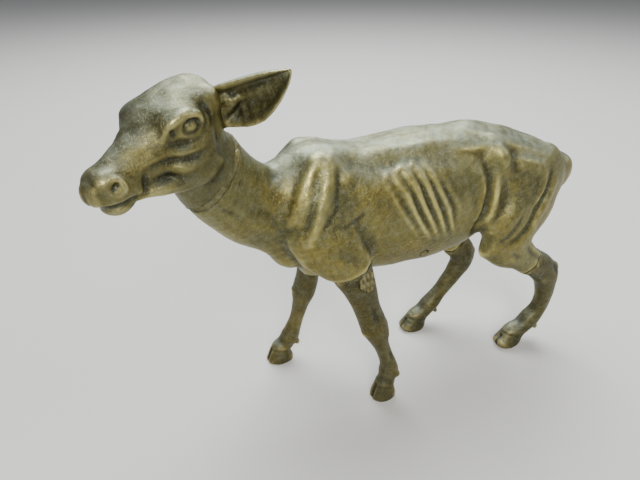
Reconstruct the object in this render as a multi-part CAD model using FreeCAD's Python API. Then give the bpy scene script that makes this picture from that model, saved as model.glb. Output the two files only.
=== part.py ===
import FreeCAD, Part
import math
import os
from FreeCAD import Matrix, Placement, Rotation, Vector

# Bronze statuette of a thin walking hind (a female deer), built as a small hollow
# lost-wax bronze is built: a hollow body casting that is open at the throat, a hollow
# head casting with a tubular spigot that closes it, solid lower legs, ears and tail
# that are doweled and brazed on, and plugs where the core pins and the core vent were.
# Millimetres.  The head faces -X, the animal's left side faces -Y, Z is up and the
# hoof soles stand on Z = 0.  Everything is moved at the end so that the middle of the
# whole figure's footprint box is the origin.

# ---- driving dimensions ------------------------------------------------------
WALL = 3.0                 # thickness of the hollow castings
DOWEL_R = 2.0              # leg dowels
DOWEL_LEN = 15.0
SMALL_DOWEL_R = 1.1        # ear and tail dowels
SMALL_DOWEL_LEN = 8.0
DOWEL_CLEARANCE = 0.05     # radial room for the brazing metal
SPIGOT_R = 7.6             # outside of the head casting's tubular spigot
SPIGOT_BORE_R = 5.0
SPIGOT_LEN = 9.0
SPIGOT_CLEARANCE = 0.1
THROAT_PIN_R = 1.0
CORE_PLUG_R = 1.9
BELLY_PLUG_R = 5.0
RING_POINTS = 14           # points of each rounded section

# Trunk sections: station, top, widest level, bottom, half width.
TRUNK = (
    (-73.0, 112.0, 100.0, 90.0, 7.0),
    (-67.0, 124.0, 103.0, 81.0, 14.0),
    (-58.0, 133.0, 104.0, 76.0, 18.5),
    (-48.0, 135.5, 103.0, 73.0, 21.0),
    (-34.0, 132.5, 101.0, 70.0, 22.5),
    (-16.0, 132.5, 100.0, 68.0, 24.0),
    (2.0, 133.0, 101.0, 67.0, 24.0),
    (18.0, 133.0, 104.0, 69.5, 23.0),
    (30.0, 132.5, 107.0, 75.0, 21.5),
    (44.0, 129.0, 108.0, 80.0, 21.0),
    (60.0, 122.5, 107.0, 84.0, 19.5),
    (74.0, 116.0, 104.0, 87.0, 16.5),
    (85.0, 109.5, 101.0, 91.0, 11.5),
    (91.5, 104.0, 99.0, 94.0, 5.5),
)

# Neck sections: x, y, z of the middle, half height, half width, turn and rise of the
# neck's direction in degrees (turn is towards the animal's left, rise is upwards).
NECK = (
    (-56.0, 0.0, 107.0, 25.0, 15.0, 0.0, 2.0),
    (-68.0, -0.5, 108.0, 21.5, 13.5, 6.0, 8.0),
    (-79.0, -2.5, 111.5, 17.5, 12.0, 18.0, 22.0),
    (-88.0, -6.0, 119.0, 15.8, 11.2, 28.0, 38.0),
    (-95.5, -9.5, 128.5, 15.2, 11.2, 28.0, 44.0),
    (-101.0, -12.5, 137.0, 14.5, 11.5, 28.0, 46.0),
    (-106.0, -15.5, 145.0, 11.0, 10.0, 28.0, 46.0),
)
THROAT = (-98.4, -11.0, 133.0)       # middle of the head's joint
THROAT_TURN, THROAT_RISE = 28.0, 42.0

# The head has its own axes: along the face, to the animal's left, and up.
HEAD_AT = (-116.0, -21.5, 162.5)     # middle of the brow
HEAD_TURN, HEAD_DROP, HEAD_ROLL = 32.0, 8.0, 3.0
# Head sections: station along the face, top, widest level, bottom, half width.
HEAD = (
    (-21.5, -2.5, -9.0, -14.0, 6.5),
    (-18.0, 1.8, -9.0, -20.5, 10.0),
    (-11.0, 4.2, -8.0, -25.5, 12.4),
    (-4.0, 3.4, -7.0, -26.8, 13.2),
    (3.0, 0.8, -7.5, -26.2, 12.0),
    (10.0, -2.8, -10.0, -25.0, 9.6),
    (18.0, -6.2, -13.5, -23.5, 7.8),
    (25.0, -8.6, -15.5, -23.4, 7.5),
    (31.0, -10.2, -16.5, -22.8, 6.6),
    (34.5, -12.6, -16.8, -20.6, 3.6),
)
ORBIT = (0.5, 10.6, -2.6, 4.6)       # along, aside, up, radius of the eye sockets' bosses
EYE = (-0.5, 11.2, -5.6, 3.4)

# Limb sections: x, y, z of the middle, half depth fore and aft, half width, lean in
# degrees (0 is a level section, a positive lean runs down and to the rear).
LEFT_FORE = (
    (-53.0, -9.5, 129.0, 5.5, 3.2, 0.0),
    (-57.0, -14.2, 113.0, 11.0, 7.2, 0.0),
    (-56.0, -16.5, 99.0, 14.5, 8.4, 0.0),
    (-49.5, -19.0, 89.0, 13.0, 8.4, 12.0),
    (-43.5, -21.5, 80.5, 9.6, 7.4, 18.0),
    (-39.5, -23.0, 70.0, 7.6, 6.3, 18.0),
    (-36.0, -23.5, 59.0, 6.4, 5.8, 18.0),
    (-32.5, -24.0, 49.0, 6.4, 6.0, 18.0),
    (-30.2, -24.0, 43.0, 6.0, 6.0, 18.0),
    (-28.4, -24.0, 37.5, 4.4, 4.7, 18.0),
    (-25.2, -24.0, 29.0, 3.7, 3.9, 18.0),
    (-22.6, -24.0, 21.5, 4.1, 4.2, 10.0),
    (-21.8, -24.0, 16.0, 5.0, 5.0, -8.0),
    (-22.8, -24.0, 11.0, 4.4, 4.6, -20.0),
    (-23.8, -24.0, 7.2, 5.2, 5.2, -14.0),
    (-24.4, -24.0, 0.0, 6.8, 5.6, 0.0),
)
RIGHT_FORE = (
    (-54.0, 9.5, 129.0, 5.5, 3.2, 0.0),
    (-59.5, 14.2, 113.0, 11.0, 7.2, 0.0),
    (-59.0, 16.0, 98.0, 13.5, 8.4, 0.0),
    (-53.0, 17.5, 87.0, 12.0, 8.0, 6.0),
    (-48.0, 18.5, 77.0, 9.0, 7.2, 4.0),
    (-46.8, 19.3, 67.0, 7.2, 6.2, 0.0),
    (-47.4, 20.0, 57.0, 6.2, 5.7, -8.0),
    (-49.0, 20.5, 48.0, 6.2, 5.9, -12.0),
    (-50.4, 20.8, 42.0, 5.8, 5.8, -14.0),
    (-51.8, 21.2, 36.0, 4.4, 4.6, -15.0),
    (-54.0, 21.8, 27.0, 3.8, 3.9, -16.0),
    (-56.0, 22.4, 20.0, 4.2, 4.2, -20.0),
    (-57.8, 22.8, 15.0, 5.0, 5.0, -32.0),
    (-60.6, 23.2, 10.5, 4.6, 4.7, -42.0),
    (-62.8, 23.4, 7.0, 5.8, 5.2, -28.0),
    (-64.0, 23.4, 0.0, 7.8, 5.7, 0.0),
)
LEFT_THIGH = (
    (53.0, -8.5, 118.0, 10.0, 5.5, 0.0),
    (57.0, -12.2, 107.0, 22.0, 8.4, 0.0),
    (53.0, -14.8, 95.0, 24.0, 9.4, 4.0),
    (48.0, -17.2, 84.0, 20.0, 9.2, 10.0),
    (45.5, -19.0, 74.5, 14.0, 8.0, 16.0),
    (46.0, -20.0, 67.0, 8.0, 5.5, 22.0),
)
LEFT_GASKIN = (
    (41.5, -18.6, 79.0, 10.5, 6.2, 46.0),
    (49.0, -19.8, 70.5, 10.2, 6.8, 50.0),
    (56.0, -20.4, 63.6, 8.8, 6.2, 53.0),
    (63.0, -20.6, 58.0, 7.6, 5.6, 55.0),
)
LEFT_HIND = (
    (63.0, -20.6, 58.0, 7.6, 5.6, 55.0),
    (71.0, -20.4, 52.8, 7.6, 5.7, 48.0),
    (77.5, -20.0, 46.0, 7.4, 6.0, 20.0),
    (80.3, -19.5, 38.0, 6.0, 5.3, 8.0),
    (81.5, -19.0, 29.0, 5.0, 4.7, 0.0),
    (80.0, -18.5, 20.5, 4.7, 4.5, -20.0),
    (75.8, -18.0, 14.0, 5.5, 5.3, -44.0),
    (70.8, -17.6, 9.6, 4.9, 5.0, -48.0),
    (66.4, -17.4, 6.6, 6.6, 5.5, -32.0),
    (62.0, -17.4, 0.0, 8.8, 5.9, 0.0),
)
RIGHT_THIGH = (
    (48.0, 8.5, 119.0, 10.0, 5.5, 0.0),
    (49.5, 12.2, 107.0, 22.0, 8.4, 0.0),
    (43.0, 14.5, 95.0, 23.0, 9.2, 4.0),
    (36.0, 16.2, 84.0, 18.5, 8.8, 8.0),
    (32.5, 17.0, 74.5, 13.0, 7.6, 12.0),
    (33.0, 17.2, 67.0, 7.5, 5.4, 16.0),
)
RIGHT_GASKIN = (
    (27.5, 16.6, 77.0, 9.6, 6.2, 36.0),
    (33.0, 16.8, 69.0, 9.8, 6.6, 38.0),
    (37.8, 16.4, 61.6, 8.6, 6.0, 40.0),
    (42.0, 16.0, 55.0, 7.8, 5.6, 40.0),
)
RIGHT_HIND = (
    (42.0, 16.0, 55.0, 7.8, 5.6, 40.0),
    (47.0, 15.4, 48.8, 7.6, 5.7, 28.0),
    (48.0, 15.2, 42.5, 7.0, 5.8, -4.0),
    (45.2, 15.5, 36.0, 5.7, 5.2, -26.0),
    (40.0, 16.0, 28.0, 4.8, 4.6, -34.0),
    (34.8, 16.6, 20.5, 4.5, 4.4, -37.0),
    (30.2, 17.0, 14.6, 5.3, 5.2, -42.0),
    (25.8, 17.3, 10.2, 4.8, 4.9, -44.0),
    (22.6, 17.4, 7.0, 6.3, 5.4, -30.0),
    (19.0, 17.4, 0.0, 8.6, 5.8, 0.0),
)
# Each separately cast leg, and the parts of the limb that belong to the body casting.
# A leg's first section is its joint.
LIMBS = (
    ("left_foreleg", LEFT_FORE[4:], (LEFT_FORE[:5],)),
    ("right_foreleg", RIGHT_FORE[4:], (RIGHT_FORE[:5],)),
    ("left_hindleg", LEFT_HIND, (LEFT_THIGH, LEFT_GASKIN)),
    ("right_hindleg", RIGHT_HIND, (RIGHT_THIGH, RIGHT_GASKIN)),
)
BRAZE_WIDTH = 1.8          # height of the ground step that the brazing metal fills
BRAZE_SHARE = 0.78         # size of the step's core as a share of the joint's section
CLEFT_WIDTH, CLEFT_DEPTH = 1.0, 4.0  # slit between a hoof's two claws
DEWCLAW_R = 1.7

# Ears: root, tip, half width, cup depth, and the way the cup opens.
LEFT_EAR = ((-96.0, -19.0, 158.5), (-75.5, -36.0, 172.5), 8.6, 4.6, (-0.55, -0.82, -0.1))
RIGHT_EAR = ((-104.5, -2.5, 158.5), (-103.5, 24.0, 161.5), 8.2, 4.6, (-0.95, 0.0, -0.3))

# Tail sections: x, y, z of the middle, half width, half thickness, lean in degrees.
TAIL = (
    (88.0, 0.0, 107.5, 3.2, 2.6, 62.0),
    (94.0, 0.0, 103.0, 4.6, 3.2, 35.0),
    (96.0, -0.5, 97.0, 5.6, 3.2, 0.0),
    (94.0, -1.0, 90.0, 5.8, 3.0, -20.0),
    (91.0, -1.4, 83.5, 4.6, 2.6, -25.0),
    (88.6, -1.7, 78.6, 1.8, 1.4, -27.0),
)

# Core plugs: a point inside the wall and the direction outwards.
CORE_PLUGS = {
    "core_plug_left_belly": ((-4.0, -10.0, 88.0), (0.0, -0.66, -0.75)),
    "core_plug_right_ribs": ((-14.0, 12.0, 100.0), (0.0, 1.0, 0.0)),
    "core_plug_right_loin": ((24.0, 10.0, 112.0), (0.0, 0.98, 0.2)),
    "core_plug_breast": ((-58.0, 0.0, 92.0), (-0.35, 0.0, -0.94)),
}
BELLY_PLUG_AT, BELLY_PLUG_OUT = (10.0, 0.0, 85.0), (0.0, 0.0, -1.0)


def power(value, exponent):
    """Signed power, which squares or sharpens a round section."""
    return math.copysign(abs(value) ** exponent, value)


def ring(middle, aside, upward, half_width, up, down, exponent=1.0):
    """Closed smooth section with its own height above and below the widest level."""
    points = []
    for k in range(RING_POINTS):
        t = 2.0 * math.pi * k / RING_POINTS
        y = half_width * power(math.cos(t), exponent)
        z = (up if math.sin(t) >= 0 else down) * power(math.sin(t), exponent)
        points.append(middle + aside * y + upward * z)
    curve = Part.BSplineCurve()
    curve.interpolate(Points=points, PeriodicFlag=True)
    return Part.Wire(curve.toShape())


def eased(rows, steps):
    """Rows of numbers with smooth rows added between them (centripetal cubic)."""
    count = len(rows)
    out = []
    for i in range(count - 1):
        group = [rows[max(i - 1, 0)], rows[i], rows[i + 1], rows[min(i + 2, count - 1)]]
        gap = [max(math.dist(a[:3], b[:3]), 0.3) ** 0.5 for a, b in zip(group, group[1:])]
        for k in range(steps):
            t = k / steps
            row = []
            for a, b, c, d in zip(*group):
                start = stop = c - b
                if i > 0:
                    start += ((b - a) / gap[0] - (c - a) / (gap[0] + gap[1])) * gap[1]
                if i < count - 2:
                    stop += ((d - c) / gap[2] - (d - b) / (gap[1] + gap[2])) * gap[1]
                row.append((2 * t ** 3 - 3 * t * t + 1) * b + (t ** 3 - 2 * t * t + t) * start
                           + (3 * t * t - 2 * t ** 3) * c + (t ** 3 - t * t) * stop)
            out.append(tuple(row))
    out.append(tuple(rows[-1]))
    return out


def loft(rings):
    """Smooth solid through the rings; a lower degree is used where a high one fails."""
    solid = None
    for degree in (5, 3, 2):
        try:
            solid = Part.makeLoft(rings, True, False, False, degree)
        except Part.OCCError:
            continue
        if solid.isValid():
            break
    if solid.Volume < 0:
        solid.reverse()
    return solid


def trunk(inset=0.0, first=0, last=None):
    """Barrel of the body; the inset makes the core that the casting was poured round."""
    rows = TRUNK[first:last]
    rings = []
    for x, top, level, bottom, half in rows:
        rings.append(ring(Vector(x, 0, level), Vector(0, 1, 0), Vector(0, 0, 1),
                          half - inset, top - level - inset, level - bottom - inset))
    return loft(rings)


def direction(turn, rise):
    """Unit vector forwards (-X), turned to the animal's left and raised."""
    a, b = math.radians(turn), math.radians(rise)
    return Vector(-math.cos(a) * math.cos(b), -math.sin(a) * math.cos(b), math.sin(b))


def neck(inset=0.0, first=0, last=None):
    rings = []
    for x, y, z, high, wide, turn, rise in NECK[first:last]:
        ahead = direction(turn, rise)
        aside = Vector(0, 0, 1).cross(ahead).normalize()
        upward = ahead.cross(aside).normalize()
        rings.append(ring(Vector(x, y, z), aside, upward, wide - inset,
                          high - inset, high - inset))
    return loft(rings)


def head_axes():
    """Directions along the face, to the animal's left and up, in the figure's axes."""
    turn = Rotation(Vector(0, 0, 1), HEAD_TURN)
    drop = Rotation(Vector(0, 1, 0), -HEAD_DROP)
    roll = Rotation(Vector(1, 0, 0), HEAD_ROLL)
    spin = turn.multiply(drop).multiply(roll)
    return (spin.multVec(Vector(-1, 0, 0)), spin.multVec(Vector(0, -1, 0)),
            spin.multVec(Vector(0, 0, 1)))


def head_point(along, aside, up):
    a, b, c = head_axes()
    return Vector(*HEAD_AT) + a * along + b * aside + c * up


def head(inset=0.0, first=0, last=None):
    _, b, c = head_axes()
    rings = []
    for along, top, level, bottom, half in HEAD[first:last]:
        rings.append(ring(head_point(along, 0, level), b, c, half - inset,
                          top - level - inset, level - bottom - inset))
    return loft(rings)


def limb(rows, steps=1):
    rings = []
    for x, y, z, deep, wide, lean in eased(rows, steps):
        a = math.radians(lean)
        fore = Vector(-math.cos(a), 0, -math.sin(a))
        rings.append(ring(Vector(x, y, z), fore, Vector(0, 1, 0), deep, wide, wide))
    return loft(rings)


def leaning(lean):
    """Direction down a limb at a section with this lean."""
    a = math.radians(lean)
    return Vector(math.sin(a), 0, -math.cos(a))


def frame_at(middle, along, reference=Vector(0, 1, 0)):
    """Placement whose Z runs along, with Y as near the reference as it can be."""
    z = Vector(along).normalize()
    x = reference.cross(z).normalize()
    y = z.cross(x)
    turn = Matrix(x.x, y.x, z.x, 0, x.y, y.y, z.y, 0, x.z, y.z, z.z, 0, 0, 0, 0, 1)
    return Placement(Vector(*middle), Rotation(turn))


def half_space(middle, along, size=260.0):
    """Big block on the side of the plane that the direction points to."""
    block = Part.makeBox(size, size, size, Vector(-size / 2, -size / 2, 0))
    block.Placement = frame_at(middle, along)
    return block


def rod(start, along, radius, length):
    return Part.makeCylinder(radius, length, Vector(*start), Vector(along))


def braze_band(middle, along, deep, wide):
    """Block that is left for brazing metal round a joint: a slab less its oval core."""
    slab = Part.makeBox(60, 60, BRAZE_WIDTH, Vector(-30, -30, 0))
    ends = [ring(Vector(0, 0, level), Vector(1, 0, 0), Vector(0, 1, 0), deep * BRAZE_SHARE,
                 wide * BRAZE_SHARE, wide * BRAZE_SHARE)
            for level in (-2.0, BRAZE_WIDTH + 2.0)]
    core = Part.makeLoft(ends, True, True)
    if core.Volume < 0:
        core.reverse()
    band = slab.cut(core)
    band.Placement = frame_at(middle, along)
    return band


def ear(root, tip, half, cup, opening):
    """Pointed cupped leaf with a thick rim and a round stalk at the root."""
    root, tip = Vector(*root), Vector(*tip)
    length = (tip - root).Length
    place = frame_at(root, tip - root, Vector(*opening))

    def leaf(width, depth, start, end):
        profile = []
        for k in range(9):
            s = k / 8.0
            profile.append(Vector(max(width * math.sin(math.pi * s ** 0.85) ** 0.8, 0.02), 0,
                                  start + (end - start) * s))
        curve = Part.BSplineCurve()
        curve.interpolate(profile)
        edges = [curve.toShape(),
                 Part.makeLine(profile[-1], Vector(0, 0, profile[-1].z)),
                 Part.makeLine(Vector(0, 0, profile[-1].z), Vector(0, 0, profile[0].z)),
                 Part.makeLine(Vector(0, 0, profile[0].z), profile[0])]
        body = Part.Face(Part.Wire(edges)).revolve(Vector(0, 0, 0), Vector(0, 0, 1), 360)
        scale = Matrix()
        scale.scale(1.0, depth / width, 1.0)
        return body.transformGeometry(scale)

    outer = leaf(half, cup, -3.0, length)
    inner = leaf(half - 1.5, cup, 3.0, length - 2.2)
    inner.translate(Vector(0, 1.7, 0))
    face = Part.makeBox(60, 30, 80, Vector(-30, 1.4, -20))
    shape = outer.cut(inner).cut(face)
    stalk = Part.makeCone(3.4, 3.0, 7.0, Vector(0, -1.0, -3.0))
    shape = shape.fuse(stalk).removeSplitter()
    shape.Placement = place
    return shape


def hoof_trim(rows, shape):
    """Slit between the claws, opened from the toe, and two dewclaws at the pastern."""
    x, y, _, deep, _, _ = rows[-1]
    slit = Part.makeBox(CLEFT_DEPTH, CLEFT_WIDTH, 7.0,
                        Vector(x - deep - 0.5, y - CLEFT_WIDTH / 2, -0.5))
    shape = shape.cut(slit)
    px, py, pz, pdeep, pwide, lean = rows[-4]
    back = Vector(math.cos(math.radians(lean)), 0, math.sin(math.radians(lean)))
    for side in (-1, 1):
        claw = Part.makeSphere(DEWCLAW_R)
        claw.translate(Vector(px, py + side * 2.4, pz - 1.0) + back * pdeep)
        shape = shape.fuse(claw)
    return shape


def biggest(shape):
    """The one solid of a boolean's result, mended where its edges came out too loose."""
    solid = max(shape.Solids, key=lambda s: s.Volume)
    if not solid.isValid():
        solid.fix(1e-6, 1e-6, 1e-6)
    return solid


pieces = {}

# ---- castings before they are cut to each other ----------------------------------
joint_ahead = direction(THROAT_TURN, THROAT_RISE)
throat_head_side = half_space(THROAT, joint_ahead)
throat_body_side = half_space(THROAT, joint_ahead * -1)

trunk_solid = trunk()
neck_solid = biggest(neck(last=6).common(throat_body_side))
body = trunk_solid.fuse(neck_solid)
head_whole = head().fuse(neck(first=3).common(throat_head_side))
for side in (-1, 1):
    for along, aside, up, radius in (ORBIT, EYE):
        boss = Part.makeSphere(radius)
        boss.translate(head_point(along, side * aside, up))
        head_whole = head_whole.fuse(boss)

legs, joints = {}, {}
for name, rows, uppers in LIMBS:
    x, y, z, deep, wide, lean = rows[0]
    joints[name] = (Vector(x, y, z), leaning(lean), deep, wide)
    sole = rows[-1][:2] + (-2.0,) + rows[-1][3:]
    lower = limb(rows + (sole,), 2).common(half_space((0, 0, 0), Vector(0, 0, 1)))
    legs[name] = hoof_trim(rows, biggest(lower))
    for upper in uppers:
        body = body.fuse(limb(upper, 2))

# ---- the hollow of the body and of the head ---------------------------------------
body_core = trunk(WALL, 1, 13).fuse(neck(WALL, 0, 5))
mouth = rod(Vector(*THROAT) - joint_ahead * (SPIGOT_LEN + 3.0), joint_ahead,
            SPIGOT_R + SPIGOT_CLEARANCE, SPIGOT_LEN + 6.0)
body = body.cut(body_core).cut(mouth)

head_core = head(WALL, 1, 7)
spigot = rod(Vector(*THROAT) - joint_ahead * SPIGOT_LEN, joint_ahead, SPIGOT_R, SPIGOT_LEN + 3.0)
passage = rod(Vector(*THROAT) - joint_ahead * (SPIGOT_LEN + 1.0), joint_ahead,
              SPIGOT_BORE_R, SPIGOT_LEN + 16.0)
head_solid = head_whole
head_whole = head_whole.fuse(spigot).cut(head_core).cut(passage)

# ---- leg joints: dowel and a band of brazing metal --------------------------------
for name, (middle, down, deep, wide) in joints.items():
    dowel = rod(middle - down * (DOWEL_LEN / 2), down, DOWEL_R, DOWEL_LEN)
    socket = rod(middle - down * (DOWEL_LEN / 2), down, DOWEL_R + DOWEL_CLEARANCE, DOWEL_LEN)
    band = braze_band(middle, down, deep, wide)
    leg, fill = legs[name].cut(band).cut(socket), legs[name].common(band)
    if name == "left_foreleg":      # the only leg that reaches into the barrel of the body
        leg, fill = leg.cut(trunk_solid), fill.cut(trunk_solid)
    body = body.cut(socket)
    pieces[name] = biggest(leg)
    pieces[name + "_dowel"] = dowel
    pieces[name + "_braze"] = biggest(fill)

# ---- head joint: band of brazing metal and two cross pins ---------------------------
band = braze_band(THROAT, joint_ahead, 14.9, 11.4)
pieces["throat_braze"] = biggest(head_solid.common(band))
head_whole = head_whole.cut(band)
aside = Vector(0, 0, 1).cross(joint_ahead).normalize()
for name, sign in (("left_throat_pin", 1), ("right_throat_pin", -1)):
    start = Vector(*THROAT) - joint_ahead * (SPIGOT_LEN * 0.62) + aside * (sign * (SPIGOT_BORE_R + 0.4))
    hole = rod(start, aside * sign, THROAT_PIN_R, 14.0)
    pieces[name] = biggest(hole.common(neck_solid))
    body = body.cut(hole)
    head_whole = head_whole.cut(hole)

# ---- ears and tail ------------------------------------------------------------------
for name, spec in (("left_ear", LEFT_EAR), ("right_ear", RIGHT_EAR)):
    root, tip = Vector(*spec[0]), Vector(*spec[1])
    along = (tip - root).normalize()
    shape = biggest(ear(*spec).cut(head_solid))
    start = root - along * (SMALL_DOWEL_LEN * 0.45)
    dowel = rod(start, along, SMALL_DOWEL_R, SMALL_DOWEL_LEN)
    socket = rod(start, along, SMALL_DOWEL_R + DOWEL_CLEARANCE, SMALL_DOWEL_LEN)
    pieces[name] = biggest(shape.cut(socket))
    pieces[name + "_dowel"] = dowel
    head_whole = head_whole.cut(socket)

rings = []
for x, y, z, wide, thick, lean in TAIL:
    a = math.radians(lean)
    rings.append(ring(Vector(x, y, z), Vector(-math.cos(a), 0, -math.sin(a)), Vector(0, 1, 0),
                      thick, wide, wide))
tail = biggest(loft(rings).cut(trunk_solid))
tail_in = Vector(-0.94, 0, -0.34)
start = Vector(95.0, 0, 102.0)
dowel = rod(start, tail_in, SMALL_DOWEL_R, SMALL_DOWEL_LEN)
socket = rod(start, tail_in, SMALL_DOWEL_R + DOWEL_CLEARANCE, SMALL_DOWEL_LEN)
pieces["tail"] = biggest(tail.cut(socket))
pieces["tail_dowel"] = dowel
body = body.cut(socket)

# ---- plugs where the core pins and the core vent were -------------------------------
wall = body
plugs = [(n, p, d, CORE_PLUG_R) for n, (p, d) in CORE_PLUGS.items()]
plugs.append(("belly_plug", BELLY_PLUG_AT, BELLY_PLUG_OUT, BELLY_PLUG_R))
for name, start, out, radius in plugs:
    hole = rod(start, out, radius, 40.0)
    pieces[name] = biggest(wall.common(hole))
    body = body.cut(hole)

pieces["torso_shell"] = biggest(body)
pieces["head_shell"] = biggest(head_whole)

# ---- the whole figure stands with the middle of its box over the origin --------------
box = FreeCAD.BoundBox()
for shape in pieces.values():
    box.add(shape.optimalBoundingBox(False))
shift = Vector(-box.Center.x, -box.Center.y, -box.ZMin)
os.makedirs("parts", exist_ok=True)
for name in sorted(pieces):
    shape = pieces[name].copy()
    shape.translate(shift)
    shape.exportStep("parts/" + name + ".step")
    print(name, shape.ShapeType, shape.isValid(), round(shape.Volume, 1))
print("box", box, "shift", shift)
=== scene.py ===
"""Bronze statuette of a thin walking hind: the sculpted castings, their patina and the set."""
import logging
import math
from dataclasses import dataclass, field
from enum import Enum

import bpy
import numpy as np
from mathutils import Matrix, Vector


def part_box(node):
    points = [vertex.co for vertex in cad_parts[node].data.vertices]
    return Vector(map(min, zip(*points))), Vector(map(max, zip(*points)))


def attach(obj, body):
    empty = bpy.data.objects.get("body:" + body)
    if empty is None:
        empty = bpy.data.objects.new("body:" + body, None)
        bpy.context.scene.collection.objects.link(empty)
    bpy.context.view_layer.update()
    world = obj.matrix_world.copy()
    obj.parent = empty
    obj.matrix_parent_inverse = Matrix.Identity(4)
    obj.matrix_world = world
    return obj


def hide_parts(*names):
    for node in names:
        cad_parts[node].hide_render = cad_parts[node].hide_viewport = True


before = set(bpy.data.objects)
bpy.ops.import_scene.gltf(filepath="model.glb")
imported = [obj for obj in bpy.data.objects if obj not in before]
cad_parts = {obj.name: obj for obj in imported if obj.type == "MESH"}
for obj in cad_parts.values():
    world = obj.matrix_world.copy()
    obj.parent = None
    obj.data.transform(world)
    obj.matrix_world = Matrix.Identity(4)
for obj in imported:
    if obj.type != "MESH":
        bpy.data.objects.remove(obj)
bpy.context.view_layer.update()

import openvdb
from mathutils import Vector

LOG = logging.getLogger("hind")
MM = 0.001
FAR = 40.0  # Distance given to places that no mass has reached yet, in millimetres.

# ------------------------------------------------------------------------------------
# Measures.  Millimetres from the modelling stand's datum, the ground point between the
# four hooves: the head faces -X, the animal's left side faces -Y, and Z is up.
# ------------------------------------------------------------------------------------
DATUM_NODE = "left_hindleg_dowel"
DATUM_NODE_MIDDLE = (63.0, -20.6, 58.0)

# Station, top, widest level, bottom, half width.
TRUNK = (
    (-73.0, 111.0, 99.0, 84.0, 7.5),
    (-67.0, 121.5, 101.0, 74.5, 14.5),
    (-58.0, 130.0, 102.0, 70.5, 18.8),
    (-48.0, 132.5, 102.0, 70.5, 21.0),
    (-34.0, 130.5, 101.0, 69.0, 22.5),
    (-16.0, 131.5, 100.0, 68.0, 24.0),
    (2.0, 133.0, 101.0, 67.0, 24.0),
    (18.0, 133.0, 104.0, 69.5, 23.0),
    (30.0, 132.5, 107.0, 75.0, 21.5),
    (44.0, 129.0, 108.0, 80.0, 21.0),
    (60.0, 122.5, 107.0, 84.0, 19.5),
    (74.0, 116.0, 104.0, 87.0, 16.5),
    (85.0, 109.5, 101.0, 91.0, 11.5),
    (91.5, 104.0, 99.0, 94.0, 5.5),
)
# Middle, half height, half width, turn to the left and rise in degrees.
NECK = (
    (-56.0, 0.0, 107.0, 25.0, 15.0, 0.0, 2.0),
    (-68.0, -0.5, 108.0, 21.5, 13.5, 6.0, 8.0),
    (-79.0, -2.5, 111.5, 17.5, 12.0, 18.0, 22.0),
    (-88.0, -6.0, 119.0, 15.8, 11.2, 28.0, 38.0),
    (-95.5, -9.5, 128.5, 15.2, 11.2, 28.0, 44.0),
    (-101.0, -12.5, 137.0, 14.5, 11.5, 28.0, 46.0),
    (-106.0, -15.5, 145.0, 11.0, 10.0, 28.0, 46.0),
)
NECK_FULLER = 1.4  # How much deeper the neck is on its throat side.
THROAT = (-98.4, -11.0, 133.0)
THROAT_TURN, THROAT_RISE = 28.0, 42.0
HEAD_AT = (-116.0, -21.5, 162.5)
HEAD_TURN, HEAD_DROP, HEAD_ROLL = 32.0, 8.0, 3.0
# Station along the face, top, widest level, bottom, half width.
HEAD = (
    (-21.5, -2.5, -9.0, -14.0, 6.5),
    (-18.0, 3.0, -9.0, -20.5, 10.0),
    (-11.0, 5.5, -8.0, -25.5, 12.4),
    (-4.0, 4.7, -7.0, -26.8, 13.2),
    (3.0, 1.9, -7.5, -26.2, 12.0),
    (10.0, -2.8, -10.0, -25.0, 9.6),
    (18.0, -6.4, -13.5, -23.2, 7.6),
    (24.5, -8.6, -15.0, -22.8, 7.0),
    (29.0, -9.8, -15.8, -22.4, 6.2),
    (31.6, -11.6, -16.0, -20.6, 4.4),
)
# Swellings on the head's own axes, on each side unless the middle is on the centre line:
# middle, radii, fillet.
HEAD_SWELLS = (
    ((0.4, 8.9, -3.6), (6.6, 4.7, 4.4), 3.4),
    ((23.6, 4.2, -17.0), (6.0, 3.6, 3.9), 2.2),
    ((-2.5, 8.6, -17.6), (9.5, 4.7, 7.6), 3.0),
    ((-14.0, 8.6, -2.6), (4.6, 4.0, 4.4), 2.6),
    ((27.6, 3.2, -12.4), (3.8, 2.6, 2.3), 1.6),
)
LOWER_LIP = ((24.8, 0.0, -22.7), (5.6, 5.2, 3.1), 1.2)
EYE_SOCKET = ((-1.0, 14.2, -5.8), (4.0, 2.5, 2.8), 1.0)
EYEBALL = ((-1.4, 11.0, -5.9), (3.5, 2.9, 2.8), 0.2)
# Along, aside and up on the head's axes, then radius.
JAW_EDGE = (
    (20.0, 5.4, -20.2, 2.3),
    (14.0, 6.2, -22.0, 2.5),
    (8.0, 7.0, -23.6, 2.8),
    (2.0, 8.6, -24.6, 3.0),
    (-4.0, 9.8, -24.4, 3.3),
    (-9.5, 9.8, -21.6, 3.4),
)
# Swellings of the trunk on each side: hip, seat bone, buttock and withers, as above.
SWELLS = (
    ((32.0, 14.0, 119.0), (6.0, 6.0, 7.0), 7.0),
    ((86.0, 7.0, 101.0), (6.0, 5.0, 7.5), 6.0),
    ((76.5, 5.0, 90.0), (9.5, 6.0, 12.0), 7.0),
    ((-52.0, 10.0, 121.0), (8.0, 6.0, 10.5), 6.0),
)
BREAST = ((-65.0, -2.0, 85.5), (7.5, 9.0, 7.5), 6.0)
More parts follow.
